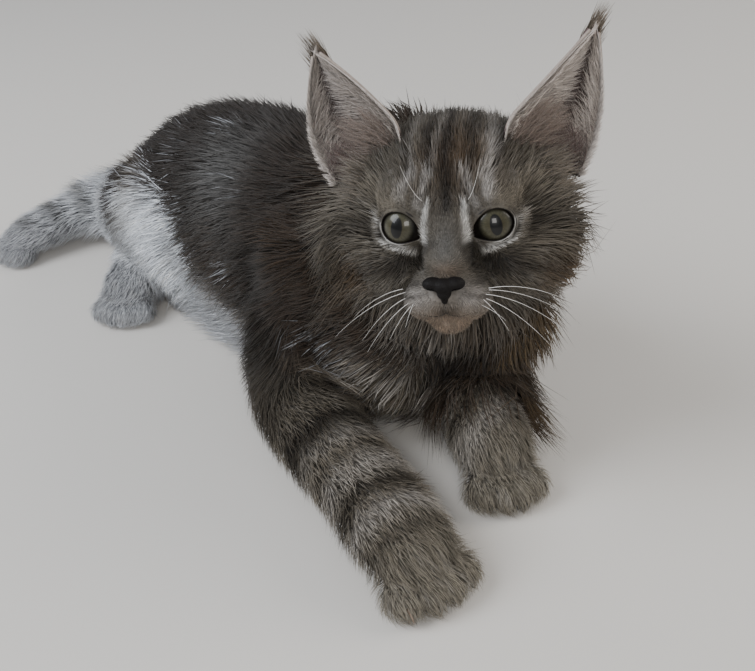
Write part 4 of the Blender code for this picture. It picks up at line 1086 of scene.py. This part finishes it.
def makeCoat(name, given, number):
    draw = np.random.default_rng(coatSet["seed"] + number)
    mine = np.isin(rootPart, given["parts"])
    roots, depth, colours, patches = rootPlaces[mine], rootDepth[mine], rootColours[mine], rootPatches[mine]
    count = len(roots)
    lengths = tableAt("length", depth) * draw.uniform(0.75, 1.2, count)
    widths = tableAt("width", depth) * draw.uniform(0.75, 1.2, count)
    heights = depth * draw.uniform(0.5, 1.0, count)
    turnsBy = np.radians(12 * waves(roots, 9, 3.1) + draw.normal(0, 7, count))
    stray = draw.random(count) < coatSet["strays"]
    heights = np.where(stray, heights * 1.2 + 0.6, heights)
    turnsBy = np.where(stray, turnsBy * 2.2, turnsBy)
    widths = np.where(stray, widths * 0.7, widths)
    if name == "coatNeck":
        lengths = lengths * (1 + 0.35 * smoothStep(66, 46, roots[:, 2]) * smoothStep(-26, -34, roots[:, 1])
                             * smoothStep(-12, 6, roots[:, 0]))
        nearShoulder = softBlob(roots, (-22, -22, 58), (20, 22, 22))
        lengths = lengths * (1 - 0.4 * nearShoulder)
        heights = heights * (1 - 0.3 * nearShoulder)
        heights = heights * (1 + 0.5 * smoothStep(15, 35, roots[:, 0]) * smoothStep(-25, -45, roots[:, 1])
                             * smoothStep(56, 78, roots[:, 2]))
    if name in ("coatNeck", "coatTrunk"):
        chest = smoothStep(-4, -24, roots[:, 1]) * smoothStep(62, 44, roots[:, 2])
        chest = chest * smoothStep(-6, 8, roots[:, 0])
        lengths = lengths * (1 + 0.45 * chest)
        heights = heights * (1 + 0.55 * chest)
    if name == "coatForeleg":
        heights = heights * (1 + 0.35 * smoothStep(-60, -90, roots[:, 1]))
    if name == "coatHindLeg":
        heights = heights * (1 + 0.6 * smoothStep(232, 246, roots[:, 1]) * smoothStep(-34, -20, roots[:, 0]))
    if name == "coatHead":
        lengths, heights, widths = shapeHeadFur(headLocal(roots), lengths, heights, widths)
    shares = (*given["rings"], 1.0)
    paths, normals = layTufts(roots, lengths, heights, turnsBy, shares)
    clump = gather(paths, roots, given["cell"], given["pull"], shares, 0.5)
    tone = draw.normal(1, 0.07, clump.max() + 1)[clump] * draw.normal(1, 0.10, count)
    tone = np.where(stray, tone * 0.7, tone)
    colours = np.clip(colours * np.clip(tone, 0.4, 1.5)[:, None], 0.003, 0.9)
    seeds = draw.random(count)
    material = longFur if len(given["rings"]) == 3 else shortFur
    order = np.argsort(roots[:, 1], kind="stable")
    for index, part in enumerate(np.array_split(order, given["split"])):
        label = name if given["split"] == 1 else f"{name}{index + 1}"
        tuftMesh(label, paths[part], normals[part], widths[part], given["broad"], 0.32, material,
                 colours[part], seeds[part], patches[part])
    report(f"{name}: {count} tufts")


for number, (name, given) in enumerate(coats.items()):
    makeCoat(name, given, number)

# Eyes


# polar streaks round the pupil, darker at the rim, on a map of the gaze plane in units of the radius
def makeEyeMaterial():
    material, nodes, links, shader = newMaterial("eyeGloss", 0.35, 0.2)
    shader.inputs["Coat Weight"].default_value = 0.6
    shader.inputs["Coat Roughness"].default_value = 0.02
    shader.inputs["Coat IOR"].default_value = 1.38
    disc = nodes.new("ShaderNodeUVMap")
    disc.uv_map = "disc"
    split = nodes.new("ShaderNodeSeparateXYZ")
    links.new(disc.outputs[0], split.inputs[0])

    def maths(operation, first, second=None):
        node = nodes.new("ShaderNodeMath")
        node.operation = operation
        for socket, value in zip(node.inputs, (first, second)):
            if isinstance(value, (int, float)):
                socket.default_value = value
            elif value is not None:
                links.new(value, socket)
        return node.outputs[0]

    x, y = maths("SUBTRACT", split.outputs[0], 0.5), maths("SUBTRACT", split.outputs[1], 0.5)
    x, y = maths("MULTIPLY", x, 2.0), maths("MULTIPLY", y, 2.0)
    radius = maths("SQRT", maths("ADD", maths("MULTIPLY", x, x), maths("MULTIPLY", y, y)))
    angle = maths("ARCTAN2", y, x)
    px, py = maths("DIVIDE", x, 0.24), maths("DIVIDE", y, 0.43)
    pupil = maths("SQRT", maths("ADD", maths("MULTIPLY", px, px), maths("MULTIPLY", py, py)))
    place = nodes.new("ShaderNodeCombineXYZ")
    links.new(maths("MULTIPLY", angle, 7.0), place.inputs[0])
    links.new(maths("MULTIPLY", radius, 2.5), place.inputs[1])
    noise = nodes.new("ShaderNodeTexNoise")
    noise.inputs["Scale"].default_value = 2.2
    noise.inputs["Detail"].default_value = 4
    links.new(place.outputs[0], noise.inputs["Vector"])
    ramp = nodes.new("ShaderNodeValToRGB")
    stops = ((0.0, linear(42, 38, 25)), (0.28, linear(54, 50, 34)), (0.48, linear(62, 60, 45)),
             (0.60, linear(38, 36, 28)), (0.68, linear(12, 10, 9)), (0.86, linear(26, 20, 18)))
    for element, (position, colour) in zip(ramp.color_ramp.elements, (stops[0], stops[-1])):
        element.position = position
        element.color = (*colour, 1)
    for position, colour in stops[1:-1]:
        ramp.color_ramp.elements.new(position).color = (*colour, 1)
    links.new(radius, ramp.inputs[0])
    streak = nodes.new("ShaderNodeMapRange")
    streak.inputs["From Min"].default_value = 0.3
    streak.inputs["From Max"].default_value = 0.7
    streak.inputs["To Min"].default_value = 0.62
    streak.inputs["To Max"].default_value = 1.3
    links.new(noise.outputs[0], streak.inputs["Value"])
    tint = nodes.new("ShaderNodeVectorMath")
    tint.operation = "SCALE"
    links.new(ramp.outputs[0], tint.inputs[0])
    links.new(streak.outputs[0], tint.inputs["Scale"])
    dark = nodes.new("ShaderNodeMapRange")
    dark.inputs["From Min"].default_value = 0.94
    dark.inputs["From Max"].default_value = 1.06
    links.new(pupil, dark.inputs["Value"])
    mixed = nodes.new("ShaderNodeVectorMath")
    mixed.operation = "SCALE"
    links.new(tint.outputs[0], mixed.inputs[0])
    links.new(dark.outputs[0], mixed.inputs["Scale"])
    links.new(mixed.outputs[0], shader.inputs["Base Color"])
    return material


eyeGloss = makeEyeMaterial()
rimSkin = newMaterial("rimSkin", 0.5, 0.3)[0]


# leather of the rims and the lips: dark, with a fine grain
def grainOn(material, colour, low, high, scale, strength, distance):
    nodes, links = material.node_tree.nodes, material.node_tree.links
    shader = nodes["Principled BSDF"]
    place = nodes.new("ShaderNodeTexCoord")
    cells = nodes.new("ShaderNodeTexVoronoi")
    cells.inputs["Scale"].default_value = scale
    links.new(place.outputs["Object"], cells.inputs["Vector"])
    level = nodes.new("ShaderNodeMapRange")
    level.inputs["To Min"].default_value = low
    level.inputs["To Max"].default_value = high
    links.new(cells.outputs["Distance"], level.inputs["Value"])
    tint = nodes.new("ShaderNodeVectorMath")
    tint.operation = "SCALE"
    tint.inputs[0].default_value = tuple(colour)
    links.new(level.outputs[0], tint.inputs["Scale"])
    links.new(tint.outputs[0], shader.inputs["Base Color"])
    bumpFrom(nodes, links, cells.outputs["Distance"], shader, strength, distance)


grainOn(rimSkin, linear(22, 18, 16), 0.7, 1.5, 1600, 0.3, 0.0002)
noseLeather = newMaterial("noseLeather", 0.6, 0.16)[0]
grainOn(noseLeather, linear(15, 12, 12), 1.3, 0.6, 1500, 0.5, 0.0003)


# a round tube along a path; closed paths join up, open ones end in points
def tubeMesh(path, radii, sides=8, closed=False):
    path, radii = np.array(path, float), np.array(radii, float)
    ahead = unit(np.roll(path, -1, 0) - np.roll(path, 1, 0)) if closed else unit(np.gradient(path, axis=0))
    across = unit(np.cross(ahead, (0.13, 0.21, 0.97)))
    upward = np.cross(across, ahead)
    angles = np.linspace(0, 2 * np.pi, sides, endpoint=False)
    ring = across[:, None] * np.cos(angles)[None, :, None] + upward[:, None] * np.sin(angles)[None, :, None]
    corners = (path[:, None] + ring * radii[:, None, None]).reshape(-1, 3)
    step = np.arange(sides)
    after = (step + 1) % sides
    faces = []
    for row in range(len(path) if closed else len(path) - 1):
        a, b = row * sides, ((row + 1) % len(path)) * sides
        faces.append(np.stack((a + step, b + after, b + step), -1))
        faces.append(np.stack((a + step, a + after, b + after), -1))
    if not closed:
        first, last = len(corners), len(corners) + 1
        corners = np.vstack((corners, path[:1], path[-1:]))
        end = (len(path) - 1) * sides
        faces.append(np.stack((np.full(sides, first), after, step), -1))
        faces.append(np.stack((np.full(sides, last), end + step, end + after), -1))
    return corners, np.vstack(faces)


def makeEyes():
    rims = []
    for side, label in ((1, "Left"), (-1, "Right")):
        corners, faces = unitSphere(72, 56)
        sphere = corners[:, (0, 2, 1)] * (1, -1, 1)
        disc = np.stack((sphere[:, 0], sphere[:, 2]), -1) / 2 + 0.5
        bulge = 1 + 0.02 * np.exp(-((np.hypot(sphere[:, 0], sphere[:, 2]) / 0.55) ** 2)) * (sphere[:, 1] < 0)
        points = fromGaze(side, sphere * eyeForm["radius"] * bulge[:, None])
        eye = meshFrom("eye" + label, points * mm, faces, eyeGloss, maps={"disc": disc[faces.ravel()]})
        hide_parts("eye_" + label.lower())
        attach(eye, "root")
        angles = np.linspace(0, 2 * np.pi, 64, endpoint=False)
        x, z = lidEdge(side, angles, 0.25)
        radius = eyeForm["radius"] + 0.55
        path = np.stack((x, -np.sqrt(radius ** 2 - x ** 2 - z ** 2), z), -1)
        thick = eyeForm["rim"] * (1 + 0.25 * np.sin(angles).clip(0))
        rims.append(tubeMesh(fromGaze(side, path), thick, 8, True))
    corners, faces = joinShapes(rims)
    rim = meshFrom("eyelidRims", corners * mm, faces, rimSkin)
    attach(rim, "root")


makeEyes()
report("eyes and lid rims")

# Nose and lips

noseForm = {
    "pads": (((4.1, -47.4, -12.9), (3.9, 3.4, 2.5), True), ((0, -48.3, -13.5), (4.4, 3.3, 2.9), False),
             ((0, -47.6, -16.4), (2.7, 3.0, 2.6), False), ((0, -46.8, -19.0), (1.4, 2.2, 2.0), False)),
    "nostril": ((4.8, -50.0, -14.6), (1.5, 1.8, 0.8)), "slit": ((5.6, -49.4, -15.0), (2.2, 1.3, 0.5)),
    "voxel": 0.42,
    "lip": {"corner": 10, "middle": -24.5, "dip": 2.0, "radius": 0.35},
}


def makeNose():
    sphere, faces = unitSphere(24, 14)
    shapes = []
    for centre, radii, mirrored in noseForm["pads"]:
        for side in (1, -1) if mirrored else (1,):
            shapes.append((fromHead(sphere * radii + np.array((side * centre[0], *centre[1:]))), faces))
    nose = fuse("nose", shapes, noseForm["voxel"], 4, noseLeather)
    for side in (1, -1):
        for label, roll in (("nostril", 12), ("slit", 30)):
            centre, radii = noseForm[label]
            hole = (sphere * radii) @ turned(-side * 35, 0, side * roll).T
            cut(nose, fromHead(hole + np.array((side * centre[0], *centre[1:]))), faces)
    nose.name = "noseLeatherPad"
    nose.data.polygons.foreach_set("use_smooth", np.ones(len(nose.data.polygons), bool))
    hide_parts("nose")
    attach(nose, "root")
    lip = noseForm["lip"]
    t = np.linspace(-1, 1, 33)
    dip = lip["dip"] * np.sin(np.pi * np.abs(t) ** 0.8)
    line = np.stack((lip["corner"] * t, np.full(33, -80.0), lip["middle"] - dip), -1)
    furrow = np.stack((np.zeros(9), np.full(9, -80.0), np.linspace(-18.5, lip["middle"], 9)), -1)
    shapes = []
    inward = Vector(headTurn @ np.array((0, 1, 0)))
    for path, thick in ((line, lip["radius"]), (furrow, 0.35)):
        hits = [skin.ray_cast(Vector(fromHead(point) * mm), inward)[1] for point in path]
        path = np.array([hit[:] for hit in hits]) / mm - (headTurn @ np.array((0, 1, 0))) * -0.1
        radii = thick * np.sqrt(np.clip(1 - np.linspace(-1, 1, len(path)) ** 4, 0.05, 1))
        shapes.append(tubeMesh(path, radii))
    corners, faces = joinShapes(shapes)
    lips = meshFrom("lips", corners * mm, faces, rimSkin)
    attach(lips, "root")


makeNose()
report("nose and lips")

# Ears

# sizes in mm and degrees; what differs by side is given for +1, the left, and -1, the right
earForm = {
    "base": (33, 5, 27), "tip": {1: (53, 7, 69), -1: (50.5, 7, 67)},
    "halfWidth": 19, "cup": 12, "wall": 1.3, "sweep": 2,
    "facing": {1: 24, -1: 15}, "taper": {1: 1.45, -1: 1.95},
    # painted light and shade: these side factors make the left ear's inside and cup hairs lighter and the right
    # ear's darker
    "tone": {1: 1.12, -1: 0.66}, "lowSideLight": {1: 1.3, -1: 1.0},
}


def earAxes(side):
    mirror = np.array((side, 1, 1))
    base = np.array(earForm["base"]) * mirror
    up = np.array(earForm["tip"][side]) * mirror - base
    facing = turned(-side * earForm["facing"][side]) @ np.array((0, -1, 0))
    facing = unit(facing - unit(up) * (facing @ unit(up)))
    return base, up, unit(np.cross(unit(up), facing)), facing


# across by u, up by t: a tapering strip bent into a cup; lift 1 is the mouth of the cup
def earPoint(side, u, t, lift=0.0):
    base, up, across, facing = earAxes(side)
    high = np.maximum(t, 0)
    narrow = 0.28 * smoothStep(0.22, -0.2, t) * smoothStep(0.7, -0.2, side * u)
    width = earForm["halfWidth"] * (1 - 0.94 * high ** earForm["taper"][side]) * (1 - narrow)
    cup = earForm["cup"] * (1 - 0.6 * high) * (1 - np.abs(u) ** 2.2) * (1 - lift)
    sweep = earForm["sweep"] * np.sin(np.pi * high)
    inward = (cup - earForm["cup"] / 2)[..., None]
    place = base + up * t[..., None] + across * (u * width)[..., None] - facing * inward
    return place + across * (side * sweep)[..., None]


# the darkest colour here paints the shade deep in the ear's cup and at its foot
earColours = {"inside": linear(112, 94, 94), "deep": linear(44, 35, 32), "rim": linear(160, 149, 141),
              "back": linear(62, 54, 48), "hair": linear(178, 168, 160), "dark": linear(92, 82, 70),
              "base": linear(104, 92, 84), "root": linear(84, 70, 66), "edge": linear(176, 168, 162),
              "cheek": linear(94, 86, 76)}


# groups of hairs in the cup: across and up at the root, across at the tip, rise, lift at the tip, bow,
# width, tint and count; across is counted outwards from the ear's middle
cupHairs = (
    ((-1.0, -0.72), (-0.08, 0.86), (-0.9, 0.35), (0.04, 0.3), (0.4, 1.0), (0.5, 3.0), (0.2, 0.36), "hair", 1300),
    ((0.8, 1.0), (0.0, 0.9), (0.1, 0.7), (0.05, 0.25), (0.3, 0.8), (0.3, 1.5), (0.2, 0.36), "hair", 420),
    ((-1.0, -0.2), (-0.2, 0.06), (-0.8, 0.5), (0.25, 0.5), (0.7, 1.4), (1.0, 3.5), (0.22, 0.4), "base", 500),
    ((-0.3, 1.0), (-0.2, 0.02), (-0.1, 0.9), (0.14, 0.34), (0.5, 1.2), (0.5, 2.5), (0.22, 0.4), "root", 500),
    ((-0.9, 0.9), (-0.1, 0.8), (-0.9, 0.9), (0.05, 0.22), (0.05, 0.3), (0.1, 0.8), (0.18, 0.3), "root", 900),
)


def makeEar(side, label):
    rows, columns = 44, 37
    up, u = np.meshgrid(np.linspace(0, 1, rows), np.linspace(-1, 1, columns), indexing="ij")
    foot = -0.2 + 0.08 * smoothStep(0.2, 1.0, side * u)
    t = foot + (1 - foot) * up
    local = earPoint(side, u, t).reshape(-1, 3)
    index = np.arange(rows * columns).reshape(rows, columns)
    a, b, c, d = index[:-1, :-1], index[:-1, 1:], index[1:, 1:], index[1:, :-1]
    faces = np.concatenate((np.stack((a, b, c), -1).reshape(-1, 3), np.stack((a, c, d), -1).reshape(-1, 3)))
    u, t = u.ravel(), t.ravel()
    # the side factor paints the left ear lighter and the right ear darker
    c = np.tile(earColours["inside"] * earForm["tone"][side], (len(u), 1))
    # painted shade: the cup darkened towards its foot and middle, where the hollow of the ear canal lies in
    # shadow
    deep = smoothStep(0.45, -0.1, t)[:, None] * (1 - np.abs(u[:, None]) ** 3)
    c = c * (1 - 0.8 * deep) + earColours["deep"] * 0.8 * deep
    rim = (smoothStep(0.88, 0.97, np.abs(u)) * smoothStep(0.02, 0.12, t))[:, None]
    c = c * (1 - rim) + earColours["rim"] * rim
    # painted shade at the ear's foot, where it meets the head
    low = smoothStep(0.1, 0.0, t)[:, None]
    c = c * (1 - low) + earColours["deep"] * low
    ear = meshFrom("ear" + label, fromHead(local) * mm, faces, earSkin, c)
    wall = ear.modifiers.new("wall", "SOLIDIFY")
    wall.thickness = earForm["wall"] * mm
    wall.offset = -1
    applyAll(ear)
    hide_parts("ear_" + label.lower())
    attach(ear, "root")

    draw = np.random.default_rng(40 + side)
    shares = np.array((0, 0.5, 1.0))
    base, up, across, facing = earAxes(side)
    groups = []

    def hairs(u0, t0, u1, t1, lift0, lift1, sag, widths, colour, spreadColour=0.12):
        path = []
        for share in shares:
            bow = np.sin(np.pi * share) * sag
            lift = lift0 + (lift1 - lift0) * share
            high = np.clip(t0 + (t1 - t0) * share, -0.1, 1.1)
            point = earPoint(side, u0 + (u1 - u0) * share, high, lift)
            path.append(point + facing * bow[:, None])
        path = fromHead(np.stack(path, 1))
        normal = np.broadcast_to(headTurn @ facing, path.shape)
        tone = np.clip(draw.normal(1, spreadColour, len(u0)), 0.5, 1.6)[:, None]
        groups.append((path, normal, widths, colour * tone))

    for u0, t0, u1, rise, lift, bow, wide, tint, n in cupHairs:
        first = draw.uniform(*t0, n)
        # the cup hairs take the same side factors: left ear painted lighter, right ear painted darker
        hairs(side * draw.uniform(*u0, n), first, side * draw.uniform(*u1, n),
              first + draw.uniform(*rise, n),
              draw.uniform(0, 0.2, n), draw.uniform(*lift, n), draw.uniform(*bow, n), draw.uniform(*wide, n),
              earColours[tint] * earForm["tone" if tint == "hair" else "lowSideLight"][side], 0.22)
    n = 1600
    t0 = draw.uniform(-0.15, 0.97, n)
    edge = np.sign(draw.uniform(-1, 1, n))
    hairs(edge * draw.uniform(0.94, 1.0, n), t0, edge * draw.uniform(1.0, 1.12, n),
          t0 + draw.uniform(0.05, 0.12, n),
          draw.uniform(0, 0.2, n), draw.uniform(0, 0.3, n), draw.uniform(-0.4, 0.5, n),
          draw.uniform(0.2, 0.36, n),
          earColours["edge"], 0.2)
    n = 3200
    t0, u0 = draw.uniform(-0.15, 0.95, n), draw.uniform(-1, 1, n)
    path = []
    for share in shares:
        shifted = np.clip(u0 + 0.05 * share * np.sign(u0), -1, 1)
        point = earPoint(side, shifted, np.clip(t0 + 0.16 * share, -0.2, 1.02))
        path.append(point - facing * (1.1 + 1.7 * share ** 0.8))
    path = fromHead(np.stack(path, 1))
    groups.append((path, np.broadcast_to(headTurn @ -facing, path.shape), draw.uniform(0.45, 0.7, n),
                   earColours["back"] * np.clip(draw.normal(1, 0.15, n), 0.5, 1.5)[:, None]))
    # hair of the cheek standing up over the ear's outer foot
    n = 900
    root = np.stack((side * draw.uniform(27, 35, n), draw.uniform(-8, 12, n), draw.uniform(2, 22, n)), -1)
    way = np.stack((side * draw.uniform(0.55, 1.0, n), draw.uniform(-0.15, 0.35, n),
                    draw.uniform(0.1, 0.75, n)), -1)
    length = draw.uniform(12, 21, n)
    path = np.stack([root + unit(way) * (length * share)[:, None] - np.array((0, 0, 2.5)) * share ** 2
                     for share in shares], 1)
    groups.append((fromHead(path), np.broadcast_to(headTurn @ facing, path.shape), draw.uniform(0.3, 0.5, n),
                   earColours["cheek"] * np.clip(draw.normal(1, 0.25, n), 0.4, 1.8)[:, None]))
    n = 260
    angle = np.radians(draw.normal(0, 6, n))
    length = draw.uniform(6, 15, n)
    root = earPoint(side, draw.uniform(-0.8, 0.8, n), draw.uniform(0.82, 0.98, n))
    way = unit(up) * np.cos(angle)[:, None] + across * np.sin(angle)[:, None]
    way = way + facing * draw.normal(0, 0.06, n)[:, None]
    path = np.stack([root + way * (length * share)[:, None] + across * (side * 1.6 * share ** 2)
                     for share in shares], 1)
    groups.append((fromHead(path), np.broadcast_to(headTurn @ facing, path.shape),
                   draw.uniform(0.2, 0.36, n),
                   earColours["dark"] * np.clip(draw.normal(1, 0.35, n), 0.5, 2.2)[:, None]))
    paths, normals, widths, colours = (np.concatenate([group[k] for group in groups]) for k in range(4))
    patches = np.stack((draw.uniform(0.68, 0.98, len(paths)), draw.uniform(0.68, 0.98, len(paths))), -1)
    tuftMesh("earHair" + label, paths, normals, widths, (0.9, 0.85), 0.4, earHair, colours,
             draw.random(len(paths)), patches)


for side, label in ((1, "Left"), (-1, "Right")):
    makeEar(side, label)
report("ears")

# Whiskers and claws

whiskerForm = {
    # root and tip in the head's frame, and how far the middle rises
    "hairs": (((-15, -44, -17), (-44, -42, -35), 2.5), ((-15, -45, -19), (-33, -44, -36), 2),
              ((-14, -45, -21), (-31, -46, -40), 2), ((-12, -46, -21), (-15, -49, -29), 0.5),
              ((-16, -43, -16), (-38, -34, -30), 2), ((-13, -45, -22), (-22, -46, -35), 1),
              ((16, -44, -16), (47, -44, -23), 3), ((15, -45, -18), (44.5, -44, -34), 3),
              ((15, -44, -20), (39, -44, -40), 2.5), ((14, -45, -20), (23, -46, -32), 1),
              ((13, -45, -22), (22, -46, -28), 0.5), ((16, -43, -17), (42, -36, -28), 2),
              ((-8, -34, 15), (-14, -42, 30), -2), ((9, -34, 15), (15, -42, 31), -2)),
    "root": 0.11, "tip": 0.03,
}
clawForm = {"length": 5, "radius": 0.9, "shown": {"forelegRight": (-1,)}, "hiddenBy": 3.4}


def makeWhiskers():
    shapes = []
    t = np.linspace(0, 1, 12)[:, None]
    for start, end, rise in whiskerForm["hairs"]:
        start, end = np.array(start, float), np.array(end, float)
        path = start + (end - start) * t + np.array((0, 0, 4)) * rise * (t - t ** 2)
        radii = np.linspace(whiskerForm["root"], whiskerForm["tip"], 12)
        shapes.append(tubeMesh(fromHead(path), radii, 5))
    corners, faces = joinShapes(shapes)
    white, nodes, links, shader = newMaterial("whisker", 0.35, 0.5)
    shader.inputs["Base Color"].default_value = (*linear(226, 224, 220), 1)
    place = nodes.new("ShaderNodeTexCoord")
    noise = nodes.new("ShaderNodeTexNoise")
    noise.inputs["Scale"].default_value = 400
    links.new(place.outputs["Object"], noise.inputs["Vector"])
    level = nodes.new("ShaderNodeMapRange")
    level.inputs["To Min"].default_value = 0.25
    level.inputs["To Max"].default_value = 0.5
    links.new(noise.outputs[0], level.inputs["Value"])
    links.new(level.outputs[0], shader.inputs["Roughness"])
    thing = meshFrom("whiskers", corners * mm, faces, white)
    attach(thing, "root")


def makeClaws():
    shapes = []
    for part, (centre, heading, halfWidth, length) in paws.items():
        turn = turned(heading)
        for side in np.linspace(-1, 1, toes["count"]):
            ahead = -length * (1 - 0.22 * side * side)
            place = centre + turn @ np.array((side * (halfWidth - toes["radius"]), ahead, 7 - centre[2]))
            toeTurn = turned(heading - toes["fan"] * side)
            t = np.linspace(0, 1, 8)[:, None]
            back = 0 if side in clawForm["shown"].get(part, ()) else clawForm["hiddenBy"]
            way = np.hstack((0 * t, back - 7.5 - clawForm["length"] * t, 0.8 - 3.4 * t ** 2))
            path = place + way @ toeTurn.T
            path[:, 2] = np.maximum(path[:, 2], 0.8)
            shapes.append(tubeMesh(path, clawForm["radius"] * (1 - 0.92 * np.linspace(0, 1, 8) ** 1.5)))
    corners, faces = joinShapes(shapes)
    horn, nodes, links, shader = newMaterial("claw", 0.3, 0.5)
    place = nodes.new("ShaderNodeTexCoord")
    noise = nodes.new("ShaderNodeTexNoise")
    noise.inputs["Scale"].default_value = 350
    links.new(place.outputs["Object"], noise.inputs["Vector"])
    ramp = nodes.new("ShaderNodeValToRGB")
    ramp.color_ramp.elements[0].color = (*linear(92, 76, 62), 1)
    ramp.color_ramp.elements[1].color = (*linear(142, 124, 108), 1)
    links.new(noise.outputs[0], ramp.inputs[0])
    links.new(ramp.outputs[0], shader.inputs["Base Color"])
    thing = meshFrom("claws", corners * mm, faces, horn)
    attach(thing, "root")


makeWhiskers()
makeClaws()
report("whiskers and claws")

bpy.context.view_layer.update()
total = sum(len(thing.data.polygons) for thing in bpy.data.objects if thing.type == "MESH")
report(f"{total} faces in all")
